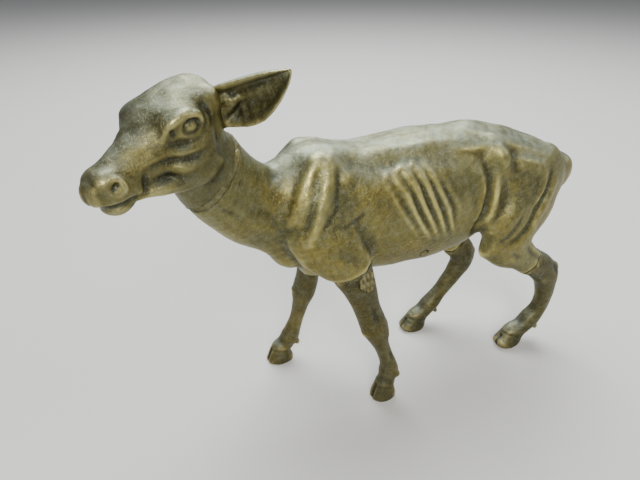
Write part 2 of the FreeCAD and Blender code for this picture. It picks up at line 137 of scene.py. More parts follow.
# Middle, half depth fore and aft, half width, lean down and to the rear.
LEFT_FORE = (
    (-53.0, -9.5, 129.0, 5.5, 3.2, 0.0),
    (-57.0, -14.2, 113.0, 11.0, 7.2, 0.0),
    (-56.0, -16.5, 99.0, 14.5, 8.4, 0.0),
    (-49.5, -19.0, 89.0, 13.0, 8.4, 12.0),
    (-43.5, -21.5, 80.5, 9.6, 7.4, 18.0),
    (-39.5, -23.0, 70.0, 7.6, 6.3, 18.0),
    (-36.0, -23.5, 59.0, 6.4, 5.8, 18.0),
    (-32.5, -24.0, 49.0, 6.4, 6.0, 18.0),
    (-30.2, -24.0, 43.0, 6.0, 6.0, 18.0),
    (-28.4, -24.0, 37.5, 4.4, 4.7, 18.0),
    (-25.2, -24.0, 29.0, 3.7, 3.9, 18.0),
    (-22.6, -24.0, 21.5, 4.1, 4.2, 10.0),
    (-21.8, -24.0, 16.0, 5.0, 5.0, -8.0),
    (-22.8, -24.0, 11.0, 4.4, 4.6, -20.0),
    (-23.8, -24.0, 7.2, 5.2, 5.2, -14.0),
    (-24.4, -24.0, 0.0, 6.8, 5.6, 0.0),
)
RIGHT_FORE = (
    (-54.0, 9.5, 129.0, 5.5, 3.2, 0.0),
    (-59.5, 14.2, 113.0, 11.0, 7.2, 0.0),
    (-59.0, 16.0, 98.0, 13.5, 8.4, 0.0),
    (-53.0, 17.5, 87.0, 12.0, 8.0, 6.0),
    (-48.0, 18.5, 77.0, 9.0, 7.2, 4.0),
    (-46.8, 19.3, 67.0, 7.2, 6.2, 0.0),
    (-47.4, 20.0, 57.0, 6.2, 5.7, -8.0),
    (-49.0, 20.5, 48.0, 6.2, 5.9, -12.0),
    (-50.4, 20.8, 42.0, 5.8, 5.8, -14.0),
    (-51.8, 21.2, 36.0, 4.4, 4.6, -15.0),
    (-54.0, 21.8, 27.0, 3.8, 3.9, -16.0),
    (-56.0, 22.4, 20.0, 4.2, 4.2, -20.0),
    (-57.8, 22.8, 15.0, 5.0, 5.0, -32.0),
    (-60.6, 23.2, 10.5, 4.6, 4.7, -42.0),
    (-62.8, 23.4, 7.0, 5.8, 5.2, -28.0),
    (-64.0, 23.4, 0.0, 7.8, 5.7, 0.0),
)
LEFT_THIGH = (
    (53.0, -8.5, 118.0, 10.0, 5.5, 0.0),
    (57.0, -12.2, 107.0, 22.0, 8.4, 0.0),
    (53.0, -14.8, 95.0, 24.0, 9.4, 4.0),
    (48.0, -17.2, 84.0, 20.0, 9.2, 10.0),
    (45.5, -19.0, 74.5, 14.0, 8.0, 16.0),
    (46.0, -20.0, 67.0, 8.0, 5.5, 22.0),
)
LEFT_GASKIN = (
    (39.6, -18.6, 77.6, 13.6, 6.4, 46.0),
    (48.0, -19.8, 69.6, 11.6, 6.8, 50.0),
    (56.0, -20.4, 63.6, 8.8, 6.2, 53.0),
    (63.0, -20.6, 58.0, 7.6, 5.6, 55.0),
)
LEFT_HIND = (
    (63.0, -20.6, 58.0, 7.6, 5.6, 55.0),
    (71.0, -20.4, 52.8, 7.6, 5.7, 48.0),
    (77.5, -20.0, 46.0, 7.4, 6.0, 20.0),
    (80.3, -19.5, 38.0, 6.0, 5.3, 8.0),
    (81.5, -19.0, 29.0, 5.0, 4.7, 0.0),
    (80.0, -18.5, 20.5, 4.7, 4.5, -20.0),
    (75.8, -18.0, 14.0, 5.5, 5.3, -44.0),
    (70.8, -17.6, 9.6, 4.9, 5.0, -48.0),
    (66.4, -17.4, 6.6, 6.6, 5.5, -32.0),
    (62.0, -17.4, 0.0, 8.8, 5.9, 0.0),
)
RIGHT_THIGH = (
    (48.0, 8.5, 119.0, 10.0, 5.5, 0.0),
    (49.5, 12.2, 107.0, 22.0, 8.4, 0.0),
    (43.0, 14.5, 95.0, 23.0, 9.2, 4.0),
    (36.0, 16.2, 84.0, 18.5, 8.8, 8.0),
    (32.5, 17.0, 74.5, 13.0, 7.6, 12.0),
    (33.0, 17.2, 67.0, 7.5, 5.4, 16.0),
)
RIGHT_GASKIN = (
    (26.8, 16.6, 77.0, 11.0, 6.2, 36.0),
    (33.0, 16.8, 69.0, 9.8, 6.6, 38.0),
    (37.8, 16.4, 61.6, 8.6, 6.0, 40.0),
    (42.0, 16.0, 55.0, 7.8, 5.6, 40.0),
)
RIGHT_HIND = (
    (42.0, 16.0, 55.0, 7.8, 5.6, 40.0),
    (47.0, 15.4, 48.8, 7.6, 5.7, 28.0),
    (48.0, 15.2, 42.5, 7.0, 5.8, -4.0),
    (45.2, 15.5, 36.0, 5.7, 5.2, -26.0),
    (40.0, 16.0, 28.0, 4.8, 4.6, -34.0),
    (34.8, 16.6, 20.5, 4.5, 4.4, -37.0),
    (30.2, 17.0, 14.6, 5.3, 5.2, -42.0),
    (25.8, 17.3, 10.2, 4.8, 4.9, -44.0),
    (22.6, 17.4, 7.0, 6.3, 5.4, -30.0),
    (19.0, 17.4, 0.0, 8.6, 5.8, 0.0),
)
TAIL = (
    (84.5, 0.0, 108.0, 2.6, 3.4, 62.0),
    (89.6, -0.3, 104.0, 3.0, 4.6, 38.0),
    (90.8, -1.0, 98.0, 3.0, 5.2, 5.0),
    (88.6, -2.2, 91.0, 2.9, 5.0, -22.0),
    (85.0, -3.6, 84.0, 2.7, 4.4, -32.0),
    (80.8, -4.6, 77.5, 2.3, 3.4, -38.0),
    (77.4, -5.0, 72.5, 1.3, 1.6, -40.0),
)


# ------------------------------------------------------------------------------------
# Small vector work
# ------------------------------------------------------------------------------------
def eased(rows: np.ndarray, steps: int) -> np.ndarray:
    """Adds smooth rows between the given ones.

    Args:
        rows: One row per place, whose first three columns set the spacing.
        steps: Rows per gap.
    Returns:
        The longer table.
    """
    rows = np.asarray(rows, float)
    gap = np.maximum(np.linalg.norm(np.diff(rows[:, :3], axis=0), axis=1), 0.3) ** 0.5
    knots = np.concatenate([[0.0], np.cumsum(gap)])
    slope = np.gradient(rows, knots, axis=0)
    out = []
    for i in range(len(rows) - 1):
        t = np.linspace(0, 1, steps, endpoint=False)[:, None]
        h = knots[i + 1] - knots[i]
        out.append((2 * t**3 - 3 * t**2 + 1) * rows[i] + (t**3 - 2 * t**2 + t) * h * slope[i]
                   + (3 * t**2 - 2 * t**3) * rows[i + 1] + (t**3 - t**2) * h * slope[i + 1])
    out.append(rows[-1:])
    return np.concatenate(out)


def unit(vectors: np.ndarray) -> np.ndarray:
    """Scales each vector to length one."""
    return vectors / np.maximum(np.linalg.norm(vectors, axis=-1, keepdims=True), 1e-9)


def heading(turn: np.ndarray, rise: np.ndarray) -> np.ndarray:
    """Directions forwards, turned to the animal's left and raised, from degrees."""
    a, b = np.radians(turn), np.radians(rise)
    return np.stack([-np.cos(a) * np.cos(b), -np.sin(a) * np.cos(b), np.sin(b)], -1)


def turned_axes(turn: float, drop: float, roll: float) -> np.ndarray:
    """Axes of a part that is turned away from the body's own.

    Args:
        turn: Degrees to the animal's left.
        drop: Degrees that its front points down.
        roll: Degrees that its left side is raised.
    Returns:
        Rows with the directions along the face, to the animal's left, and up.
    """
    a, b, c = (math.radians(v) for v in (turn, drop, roll))
    ahead = np.array([-math.cos(a) * math.cos(b), -math.sin(a) * math.cos(b), -math.sin(b)])
    left = np.array([math.sin(a), -math.cos(a), 0.0])
    up = np.array([-math.cos(a) * math.sin(b), -math.sin(a) * math.sin(b), math.cos(b)])
    return np.array([ahead, left * math.cos(c) + up * math.sin(c),
                     up * math.cos(c) - left * math.sin(c)])


HEAD_AXES = turned_axes(HEAD_TURN, HEAD_DROP, HEAD_ROLL)
THROAT_AHEAD = heading(np.array(THROAT_TURN), np.array(THROAT_RISE))


def on_head(along: float, aside: float, up: float) -> tuple[float, float, float]:
    """A place given on the head's own axes, on the stand's axes."""
    return tuple(np.array(HEAD_AT) + np.array([along, aside, up]) @ HEAD_AXES)


# ------------------------------------------------------------------------------------
# Masses of clay
# ------------------------------------------------------------------------------------
@dataclass
class Sweep:
    """A rounded mass swept along a line, with its own size across, above and below."""

    middle: np.ndarray
    across: np.ndarray
    wide: np.ndarray
    high: np.ndarray
    low: np.ndarray
    square: float = 2.0
    cap: float = 0.6

    def __post_init__(self) -> None:
        """Works out the line's own directions and how its sizes change along it."""
        self.along = unit(np.gradient(self.middle, axis=0))
        self.across = unit(self.across - self.along * (self.across * self.along).sum(-1)[:, None])
        self.up = np.cross(self.along, self.across)
        run = np.concatenate([[0], np.cumsum(np.linalg.norm(np.diff(self.middle, axis=0), axis=1))])
        self.step = np.gradient(run)
        self.sizes = np.stack([self.wide, self.high, self.low], -1)
        self.growth = np.gradient(self.sizes, run, axis=0)

    def reach(self) -> tuple[np.ndarray, np.ndarray]:
        """Lowest and highest corner of the space that the mass can change."""
        pad = self.sizes.max() + 6.0
        return self.middle.min(0) - pad, self.middle.max(0) + pad

    def distance(self, points: np.ndarray) -> np.ndarray:
        """Approximate distance from the mass's surface, negative inside.

        Args:
            points: Places, as an (n, 3) array.
        Returns:
            One distance per place.
        """
        out = np.empty(len(points), np.float32)
        square = (self.middle**2).sum(1)
        for start in range(0, len(points), 200000):
            p = points[start:start + 200000]
            near = np.argmin(square - 2.0 * (p @ self.middle.T.astype(np.float32)), axis=1)
            off = p - self.middle[near]
            run = (off * self.along[near]).sum(1)
            reach = self.step[near] * 2.0
            slide = np.clip(run, np.where(near == 0, 0, -reach),
                            np.where(near == len(self.middle) - 1, 0, reach))
            size = self.sizes[near] + self.growth[near] * slide[:, None]
            u = (off * self.across[near]).sum(1)
            v = (off * self.up[near]).sum(1)
            w = (run - slide)
            size = np.maximum(size, 0.2)
            upright = np.where(v >= 0, size[:, 1], size[:, 2])
            end = np.minimum(size[:, 0], size[:, 1]) * self.cap
            q = self.square
            a, b, c = np.abs(u) / size[:, 0], np.abs(v) / upright, np.abs(w) / end
            k = np.maximum((a**q + b**q + c**q) ** (1 / q), 1e-6)
            slope = np.sqrt((a ** (q - 1) / size[:, 0])**2 + (b ** (q - 1) / upright)**2
                            + (c ** (q - 1) / end)**2)
            out[start:start + 200000] = (k - 1) * k ** (q - 1) / np.maximum(slope, 1e-3)
        return out


@dataclass
class Egg:
    """An ellipsoid of clay with its own axes."""

    middle: tuple[float, float, float]
    radii: tuple[float, float, float]
    axes: np.ndarray = field(default_factory=lambda: np.eye(3))

    def reach(self) -> tuple[np.ndarray, np.ndarray]:
        """Lowest and highest corner of the space that the mass can change."""
        pad = max(self.radii) + 4.0
        return np.array(self.middle) - pad, np.array(self.middle) + pad

    def distance(self, points: np.ndarray) -> np.ndarray:
        """Approximate distance from the surface, negative inside.

        Args:
            points: Places, as an (n, 3) array.
        Returns:
            One distance per place.
        """
        local = (points - np.array(self.middle)) @ self.axes.T / np.array(self.radii)
        k0 = np.linalg.norm(local, axis=1)
        k1 = np.maximum(np.linalg.norm(local / np.array(self.radii), axis=1), 1e-4)
        return (k0 * (k0 - 1) / k1).astype(np.float32)


def on_face(spec: tuple, side: int = 1) -> tuple[Egg, float]:
    """One of the head's swellings or hollows.

    Args:
        spec: Its middle on the head's axes, its radii and its fillet.
        side: 1 for the left side, -1 for the right.
    Returns:
        The mass, and its fillet.
    """
    (along, aside, up), radii, soft = spec
    return Egg(on_head(along, side * aside, up), radii, HEAD_AXES), soft


@dataclass
class Rod:
    """A round bar, for the dowel sockets and plugs."""

    start: tuple[float, float, float]
    toward: tuple[float, float, float]
    radius: float
    length: float

    def reach(self) -> tuple[np.ndarray, np.ndarray]:
        """Lowest and highest corner of the space that the bar can change."""
        ends = np.array([self.start, np.array(self.start) + unit(np.array(self.toward)) * self.length])
        return ends.min(0) - self.radius - 2, ends.max(0) + self.radius + 2

    def distance(self, points: np.ndarray) -> np.ndarray:
        """Distance from the bar's surface, negative inside.

        Args:
            points: Places, as an (n, 3) array.
        Returns:
            One distance per place.
        """
        off = points - np.array(self.start)
        ahead = unit(np.array(self.toward))
        run = off @ ahead
        side = np.linalg.norm(off - run[:, None] * ahead, axis=1) - self.radius
        return np.maximum(side, np.maximum(-run, run - self.length)).astype(np.float32)


@dataclass
class Cut:
    """A mass with everything beyond a plane taken off."""

    mass: Sweep
    at: tuple[float, float, float]
    outward: np.ndarray

    def reach(self) -> tuple[np.ndarray, np.ndarray]:
        """Lowest and highest corner of the space that the mass can change."""
        return self.mass.reach()

    def distance(self, points: np.ndarray) -> np.ndarray:
        """Approximate distance from the surface, negative inside, for (n, 3) places."""
        beyond = (points - np.array(self.at)) @ self.outward
        return np.maximum(self.mass.distance(points), beyond).astype(np.float32)


def trunk_mass(inset: float = 0.0) -> Sweep:
    """The barrel of the body, or with an inset the core inside it.

    Args:
        inset: How far inside the surface to stay.
    Returns:
        The mass.
    """
    steps = 14
    r = eased(np.array([(x, 0, level, top - level, level - bottom, half)
                        for x, top, level, bottom, half in TRUNK]), steps)
    if inset:
        r = r[steps:-steps]
    across = np.tile([0.0, 1.0, 0.0], (len(r), 1))
    return Sweep(r[:, :3], across, r[:, 5] - inset, r[:, 3] - inset, r[:, 4] - inset, 2.15)


def neck_mass() -> Sweep:
    """The neck, fuller on its throat side.

    Returns:
        The mass.
    """
    r = eased(np.array(NECK), 14)
    ahead = heading(r[:, 5], r[:, 6])
    across = np.cross(np.array([0.0, 0.0, 1.0]), ahead)
    return Sweep(r[:, :3], across, r[:, 4], r[:, 3], r[:, 3] + NECK_FULLER)


def head_mass() -> Sweep:
    """The skull and face.

    Returns:
        The mass.
    """
    r = eased(np.array([(a, 0, level, top - level, level - bottom, half)
                        for a, top, level, bottom, half in HEAD]), 12)
    middle = np.array(HEAD_AT) + r[:, :3] @ HEAD_AXES
    across = np.tile(HEAD_AXES[1], (len(r), 1))
    return Sweep(middle, across, r[:, 5], r[:, 3], r[:, 4], 2.1)


def jaw_bar(side: int) -> Sweep:
    """The edge of the lower jaw on one side.

    Args:
        side: 1 for the left side, -1 for the right.
    Returns:
        The mass.
    """
    rows = np.array(JAW_EDGE)
    rows[:, 1] *= side
    r = eased(rows, 8)
    middle = np.array(HEAD_AT) + r[:, :3] @ HEAD_AXES
    return Sweep(middle, np.tile(HEAD_AXES[1], (len(r), 1)), r[:, 3], r[:, 3], r[:, 3])


def limb_mass(rows: tuple, square: float = 2.0) -> Sweep:
    """A limb or part of one.

    Args:
        rows: Its table of sections.
        square: How square the sections are; 2 is round.
    Returns:
        The mass.
    """
    r = eased(np.array(rows), 12)
    across = np.tile([0.0, 1.0, 0.0], (len(r), 1))
    return Sweep(r[:, :3], across, r[:, 4], r[:, 3], r[:, 3], square)


def joint_of(rows: tuple) -> tuple[np.ndarray, np.ndarray]:
    """Middle and downward direction of the joint at a leg's first section."""
    lean = math.radians(rows[0][5])
    return np.array(rows[0][:3]), np.array([math.sin(lean), 0.0, -math.cos(lean)])


# ------------------------------------------------------------------------------------
# The clay itself
# ------------------------------------------------------------------------------------
class Tool(Enum):
    """What a stroke of the modelling tool does."""

    RAISE = 1.0
    CUT = -1.0


@dataclass(frozen=True)
class Stroke:
    """One pass of the modelling tool over the surface.

    Attributes:
        tool: Whether clay is added or taken away.
        points: Places that the pass goes through; they are moved to the surface.
        radius: How far to each side it works, in millimetres.
        height: How much it adds or takes at its middle.
        fade: Whether it dies away at its two ends.
    """

    tool: Tool
    points: tuple
    radius: float
    height: float
    fade: bool = True

    def mirrored(self, shift: float = 0.0) -> "Stroke":
        """The same pass on the other flank."""
        points = tuple((x + shift, -y, z) for x, y, z in self.points)
        return Stroke(self.tool, points, self.radius, self.height, self.fade)


TOOL_REACH = 2.1  # How many radii from its line a stroke dies away.


class Clay:
    """A block of space that holds the distance from the modelled surface."""

    def __init__(self, low: tuple, high: tuple, pitch: float) -> None:
        """Makes an empty block.

        Args:
            low: Lowest corner in millimetres.
            high: Highest corner.
            pitch: Spacing of the grid.
        """
        self.pitch = pitch
        self.first = np.floor(np.array(low) / pitch).astype(int)
        self.count = np.ceil(np.array(high) / pitch).astype(int) - self.first + 1
        self.value = np.full(self.count, FAR, np.float32)

    def window(self, low: np.ndarray, high: np.ndarray) -> tuple[tuple, np.ndarray]:
        """The part of the grid between two corners.

        Args:
            low: Lowest corner.
            high: Highest corner.
        Returns:
            The slices of that part, and the places in it.
        """
        a = np.clip(np.floor(np.array(low) / self.pitch).astype(int) - self.first, 0, self.count)
        b = np.clip(np.ceil(np.array(high) / self.pitch).astype(int) - self.first + 1, 0, self.count)
        axes = [(np.arange(a[i], b[i]) + self.first[i]) * self.pitch for i in range(3)]
        grid = np.stack(np.meshgrid(*axes, indexing="ij"), -1).astype(np.float32)
        return tuple(slice(a[i], b[i]) for i in range(3)), grid

    def like(self, value: np.ndarray) -> "Clay":
        """Another block on the same grid.

        Args:
            value: Its distances.
        Returns:
            The new block.
        """
        twin = Clay.__new__(Clay)
        twin.pitch, twin.first, twin.count = self.pitch, self.first, self.count
        twin.value = value.astype(np.float32)
        return twin

    def whole_grid(self) -> np.ndarray:
        """Every place of the grid."""
        return self.window(self.first * self.pitch, (self.first + self.count) * self.pitch)[1]

    def join(self, mass: object, soft: float = 0.0) -> "Clay":
        """Adds a mass.

        Args:
            mass: Anything with reach and distance.
            soft: Size of the fillet around it.
        Returns:
            This block.
        """
        low, high = mass.reach()
        where, grid = self.window(low - soft, high + soft)
        if grid.size:
            d = mass.distance(grid.reshape(-1, 3)).reshape(grid.shape[:3])
            self.value[where] = blended(self.value[where], d, soft)
        return self

    def carve(self, mass: object, soft: float = 0.0) -> "Clay":
        """Takes a mass away.

        Args:
            mass: Anything with reach and distance.
            soft: Size of the rounding of the edge.
        Returns:
            This block.
        """
        low, high = mass.reach()
        where, grid = self.window(low - soft, high + soft)
        if grid.size:
            d = mass.distance(grid.reshape(-1, 3)).reshape(grid.shape[:3])
            self.value[where] = -blended(-self.value[where], d, soft)
        return self

    def keep(self, at: tuple, outward: np.ndarray) -> "Clay":
        """Keeps only what lies behind a plane.

        Args:
            at: A place on the plane.
            outward: Direction in which everything is taken off.
        Returns:
            This block.
        """
        beyond = (self.whole_grid() - np.array(at, np.float32)) @ np.array(outward, np.float32)
        self.value = np.maximum(self.value, beyond)
        return self

    def read(self, points: np.ndarray) -> np.ndarray:
        """Distance at any places, worked out between the grid's own.

        Args:
            points: Places, as an (n, 3) array.
        Returns:
            One distance per place.
        """
        where = np.clip(np.asarray(points) / self.pitch - self.first, 0, self.count - 1.001)
        base = np.floor(where).astype(int)
        part = where - base
        total = np.zeros(len(base))
        for corner in np.ndindex(2, 2, 2):
            weight = np.prod(np.where(np.array(corner), part, 1 - part), axis=1)
            i, j, k = (base + corner).T
            total += weight * self.value[i, j, k]
        return total

    def settled(self, points: np.ndarray) -> np.ndarray:
        """Moves places along the slope of the field until they lie on the surface.

        Args:
            points: Places near the surface.
        Returns:
            The moved places.
        """
        p = np.array(points, float)
        eye = np.eye(3) * self.pitch
        for _ in range(5):
            value = self.read(p)
            slope = np.stack([self.read(p + e) - self.read(p - e) for e in eye], 1)
            slope /= np.maximum((slope**2).sum(1, keepdims=True) ** 0.5, 1e-6)
            p -= slope * np.clip(value, -3, 3)[:, None]
        return p

    def work(self, stroke: Stroke) -> "Clay":
        """Works one pass of the tool into the surface.

        Args:
            stroke: The pass.
        Returns:
            This block.
        """
        line = np.array(stroke.points, float)
        cells = line / self.pitch
        if not ((cells >= self.first - 1) & (cells <= self.first + self.count)).all(1).any():
            return self
        if len(line) > 1:
            line = eased(line, max(2, int(6 / max(stroke.radius, 1.0)) + 2))
        line = self.settled(line)
        pad = stroke.radius * TOOL_REACH
        where, grid = self.window(line.min(0) - pad, line.max(0) + pad)
        if not grid.size:
            return self
        p = grid.reshape(-1, 3)
        best = np.full(len(p), 1e9, np.float32)
        share = np.zeros(len(p), np.float32)
        ends = max(len(line) - 1, 1)
        for i in range(ends):
            a = line[i]
            b = line[min(i + 1, len(line) - 1)]
            ab = b - a
            t = np.clip(((p - a) @ ab) / max(ab @ ab, 1e-9), 0, 1)
            d = ((p - a - t[:, None] * ab) ** 2).sum(1)
            closer = d < best
            best[closer] = d[closer]
            share[closer] = ((i + t) / ends)[closer]
        away = np.clip(np.sqrt(best) / pad, 0, 1)
        fall = 0.6 * (1 - away**2) ** 2 + 0.4 * (1 - away) ** 2
        if stroke.fade and len(line) > 1:
            fall = fall * np.sin(np.pi * np.clip(0.06 + 0.88 * share, 0.0, 1.0)) ** 0.8
        change = (fall * stroke.height * stroke.tool.value).reshape(grid.shape[:3])
        self.value[where] -= change.astype(np.float32)
        return self

    def roughen(self, size: float, depth: float, seed: int) -> "Clay":
        """Gives the surface the slight unevenness of hand work.

        Args:
            size: Usual spacing of the humps.
            depth: Usual height of the humps.
            seed: Start of the random directions.
        Returns:
            This block.
        """
        rng = np.random.default_rng(seed)
        axes = [(np.arange(self.count[i]) + self.first[i]) * self.pitch for i in range(3)]
        x, y, z = np.meshgrid(*axes, indexing="ij", sparse=True)
        total = np.zeros(self.count, np.float32)
        for _ in range(5):
            k = unit(rng.normal(size=3)) * (2 * math.pi / (size * rng.uniform(0.7, 1.5)))
            total += np.sin(x * k[0] + y * k[1] + z * k[2] + rng.uniform(0, 6.3)).astype(np.float32)
        self.value += total * (depth / 3)
        return self

    def excerpt(self, low: np.ndarray, high: np.ndarray, pitch: float) -> "Clay":
        """A finer copy of a part of the block.

        Args:
            low: Lowest corner of the part.
            high: Highest corner.
            pitch: Spacing of the copy's grid.
        Returns:
            The copy.
        """
        part = Clay(low, high, pitch)
        _, grid = part.window(low, high)
        part.value = self.read(grid.reshape(-1, 3)).reshape(grid.shape[:3]).astype(np.float32)
        return part

    def smooth(self, reach: float) -> "Clay":
        """Evens out the joins between masses, as a thumb does."""
        self.value = self.blurred(reach)
        return self

    def blurred(self, reach: float) -> np.ndarray:
        """The field averaged over cubes.

        Args:
            reach: Half the size of a cube.
        Returns:
            The averaged distances.
        """
        r = max(1, round(reach / self.pitch))
        v = np.clip(self.value, -3 * reach, 3 * reach)
        for axis in range(3):
            for _ in range(2):
                before = np.repeat(np.take(v, [0], axis), r + 1, axis)
                after = np.repeat(np.take(v, [-1], axis), r, axis)
                total = np.cumsum(np.concatenate([before, v, after], axis), axis=axis, dtype=np.float32)
                n = v.shape[axis]
                upper = np.take(total, range(2 * r + 1, 2 * r + 1 + n), axis)
                v = (upper - np.take(total, range(0, n), axis)) / (2 * r + 1)
        return v


def blended(a: np.ndarray, b: np.ndarray, soft: float) -> np.ndarray:
    """Smaller of two distances, rounded where they are alike.

    Args:
        a: Distances from one thing.
        b: Distances from the other.
        soft: How alike they have to be for the rounding to start.
    Returns:
        Distances from both together.
    """
    if soft <= 0:
        return np.minimum(a, b)
    h = np.maximum(soft - np.abs(a - b), 0) / soft
    return np.minimum(a, b) - h * h * soft * 0.25


# ------------------------------------------------------------------------------------
# From clay to a cast piece
# ------------------------------------------------------------------------------------
@dataclass(frozen=True)
class Datum:
    """Where the stand's datum lies in the frame, in metres."""

    x: float
    y: float
    z: float = 0.0

    def place(self, points: np.ndarray) -> np.ndarray:
        """Millimetres on the stand as metres in the frame."""
        return np.asarray(points) * MM + np.array([self.x, self.y, self.z])


def find_datum() -> Datum:
    """Reads the stand's datum from a dowel whose place on the stand is known.

    Returns:
        The datum.
    """
    low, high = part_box(DATUM_NODE)
    middle = [(a + b) / 2 for a, b in zip(low, high)]
    return Datum(middle[0] - DATUM_NODE_MIDDLE[0] * MM, middle[1] - DATUM_NODE_MIDDLE[1] * MM)


DATUM = find_datum()


def cast(name: str, clay: Clay, shape: Clay | None = None, contrast: float = 1.0,
         calm: float = 0.0) -> bpy.types.Object:
    """Makes the modelled surface a mesh piece with its relief stored on it.

    Args:
        name: The piece's name.
        clay: The block that holds the piece.
        shape: The surface before it was cut into pieces, which decides the wear.
        contrast: Strength of the stored relief.
        calm: How far flat stretches may be merged into larger faces.
    Returns:
        The new object, at the origin, with float attributes "relief" and "form".
    """
    band = 3 * clay.pitch
    padded = np.pad(np.clip(clay.value, -band, band), 2, constant_values=band)
    grid = openvdb.FloatGrid(band)
    grid.copyFromArray(padded.astype(np.float32))
    points, tris, quads = grid.convertToPolygons(isovalue=0.0, adaptivity=calm)
    points = (points.astype(float) - 2 + clay.first) * clay.pitch
    faces = [tuple(map(int, f)) for f in quads] + [tuple(map(int, f)) for f in tris]
    mesh = bpy.data.meshes.new(name)
    mesh.from_pydata(DATUM.place(points).tolist(), [], faces)
    mesh.validate()
    shape = shape or clay
    outside = np.abs(shape.read(points)) < 0.5
    for label, reach in (("relief", 0.9), ("form", 2.6)):
        bulge = shape.like(shape.blurred(reach)).read(points) / reach
        bulge = (bulge - np.median(bulge[outside])) * contrast
        layer = mesh.attributes.new(label, "FLOAT", "POINT")
        if len(layer.data) == len(bulge):
            layer.data.foreach_set("value", bulge.astype(np.float32))
    mesh.polygons.foreach_set("use_smooth", [True] * len(mesh.polygons))
    piece = bpy.data.objects.new(name, mesh)
    bpy.context.collection.objects.link(piece)
    LOG.info("%s: %d faces", name, len(mesh.polygons))
    return piece


# ------------------------------------------------------------------------------------
# The tool work on the body, on the near (left) flank unless it says otherwise
# ------------------------------------------------------------------------------------
R, C = Tool.RAISE, Tool.CUT
RIBS = (
    Stroke(R, ((-30, -18, 120), (-25, -21, 114), (-22, -23, 108), (-18, -24, 101), (-12, -24, 93)),
           1.35, 0.77),
    Stroke(R, ((-24, -17, 122), (-19, -21, 114), (-16, -23, 107), (-11, -24, 98), (-5, -24, 89)),
           1.35, 1.15),
    Stroke(R, ((-19, -16, 123), (-14, -21, 115), (-11, -23, 108), (-6, -24, 99), (0, -24, 88)), 1.35, 1.36),
    Stroke(R, ((-13, -16, 123), (-8, -21, 114), (-4, -24, 105), (0, -24, 96), (5, -23, 86)), 1.35, 1.36),
    Stroke(R, ((-7, -17, 121), (-2, -22, 112), (2, -24, 104), (5, -24, 96), (9, -23, 88)), 1.3, 1.15),
    Stroke(R, ((-1, -18, 118), (4, -22, 110), (8, -23, 103), (10, -23, 96)), 1.3, 0.59),
    Stroke(C, ((-27, -19, 117), (-22, -22, 110), (-18, -24, 103), (-11, -24, 93)), 1.25, 0.5),
    Stroke(C, ((-21, -19, 118), (-16, -22, 111), (-12, -24, 103), (-5, -24, 92)), 1.25, 0.71),
    Stroke(C, ((-15, -19, 118), (-10, -22, 111), (-6, -24, 103), (0, -24, 91)), 1.25, 0.78),
    Stroke(C, ((-9, -19, 117), (-4, -22, 110), (0, -24, 103), (5, -24, 91)), 1.25, 0.71),
    Stroke(C, ((-3, -20, 115), (2, -22, 109), (6, -24, 102), (8, -24, 94)), 1.25, 0.43),
    Stroke(R, ((-28, -16, 121), (-26, -17, 120)), 1.7, 0.68),
    Stroke(R, ((-21.5, -15, 122.5), (-19.5, -16, 121)), 1.8, 0.77),
    Stroke(R, ((-15.5, -15, 123), (-13.5, -16, 122)), 1.9, 0.77),
    Stroke(R, ((-9, -15, 122.5), (-7, -16, 121)), 1.8, 0.59),
    Stroke(R, ((-2, -17, 124), (5, -21, 116), (12, -23, 106), (15, -23, 97), (11, -22, 87)), 3.0, 0.85),
    Stroke(C, ((13, -19, 120), (18, -22, 110), (20, -23, 100)), 3.4, 0.62),
)
SHOULDER = (
    Stroke(R, ((-54, -9, 131), (-58, -12, 127), (-62, -14, 121), (-65, -15, 113), (-67, -14, 104)),
           2.0, 0.95),
    Stroke(R, ((-52, -12, 130), (-53, -15, 124), (-56, -18, 115), (-61, -19, 104), (-64, -16, 96)),
           2.0, 1.09),
    Stroke(C, ((-55, -13, 127), (-58, -15, 120), (-61, -17, 112), (-64, -16, 104), (-66, -14, 97)),
           1.5, 0.71),
    Stroke(R, ((-44, -15, 126), (-46, -17, 120)), 2.2, 1.02),
    Stroke(C, ((-49, -15, 126), (-50, -18, 118), (-53, -20, 110)), 1.6, 0.5),
    Stroke(C, ((-42, -18, 117), (-41, -20, 110), (-39, -22, 103)), 3.0, 0.5),
    Stroke(C, ((-50, -19, 113), (-55, -19, 108), (-61, -17, 104)), 1.0, 0.5),
    Stroke(C, ((-38, -22, 108), (-42, -22, 105), (-48, -21, 103)), 1.2, 0.56),
    Stroke(C, ((-42, -21, 103), (-36, -22, 96), (-32, -22, 88)), 2.2, 0.43),
    Stroke(R, ((-66, -13, 94), (-57, -16, 90), (-49, -19, 85), (-41, -24, 80)), 2.6, 1.16),
    Stroke(C, ((-68, -12, 100), (-59, -17, 95.5), (-50, -20, 90), (-43, -22, 85.5), (-37, -23.5, 82)),
           2.2, 0.46),
    Stroke(R, ((-59, -17, 102), (-50, -19, 96), (-42, -21, 89), (-34, -23, 83)), 2.4, 1.02),
    Stroke(C, ((-55, -19, 106), (-49, -20, 101), (-43, -21, 96)), 1.8, 0.37),
    Stroke(R, ((-64, -13, 93),), 3.4, 0.82),
    Stroke(R, ((-47, -21, 101), (-41, -22, 95)), 2.6, 0.48),
    Stroke(C, ((-70, -12, 120), (-71, -12, 110), (-69, -11, 100)), 3.0, 0.43),
)
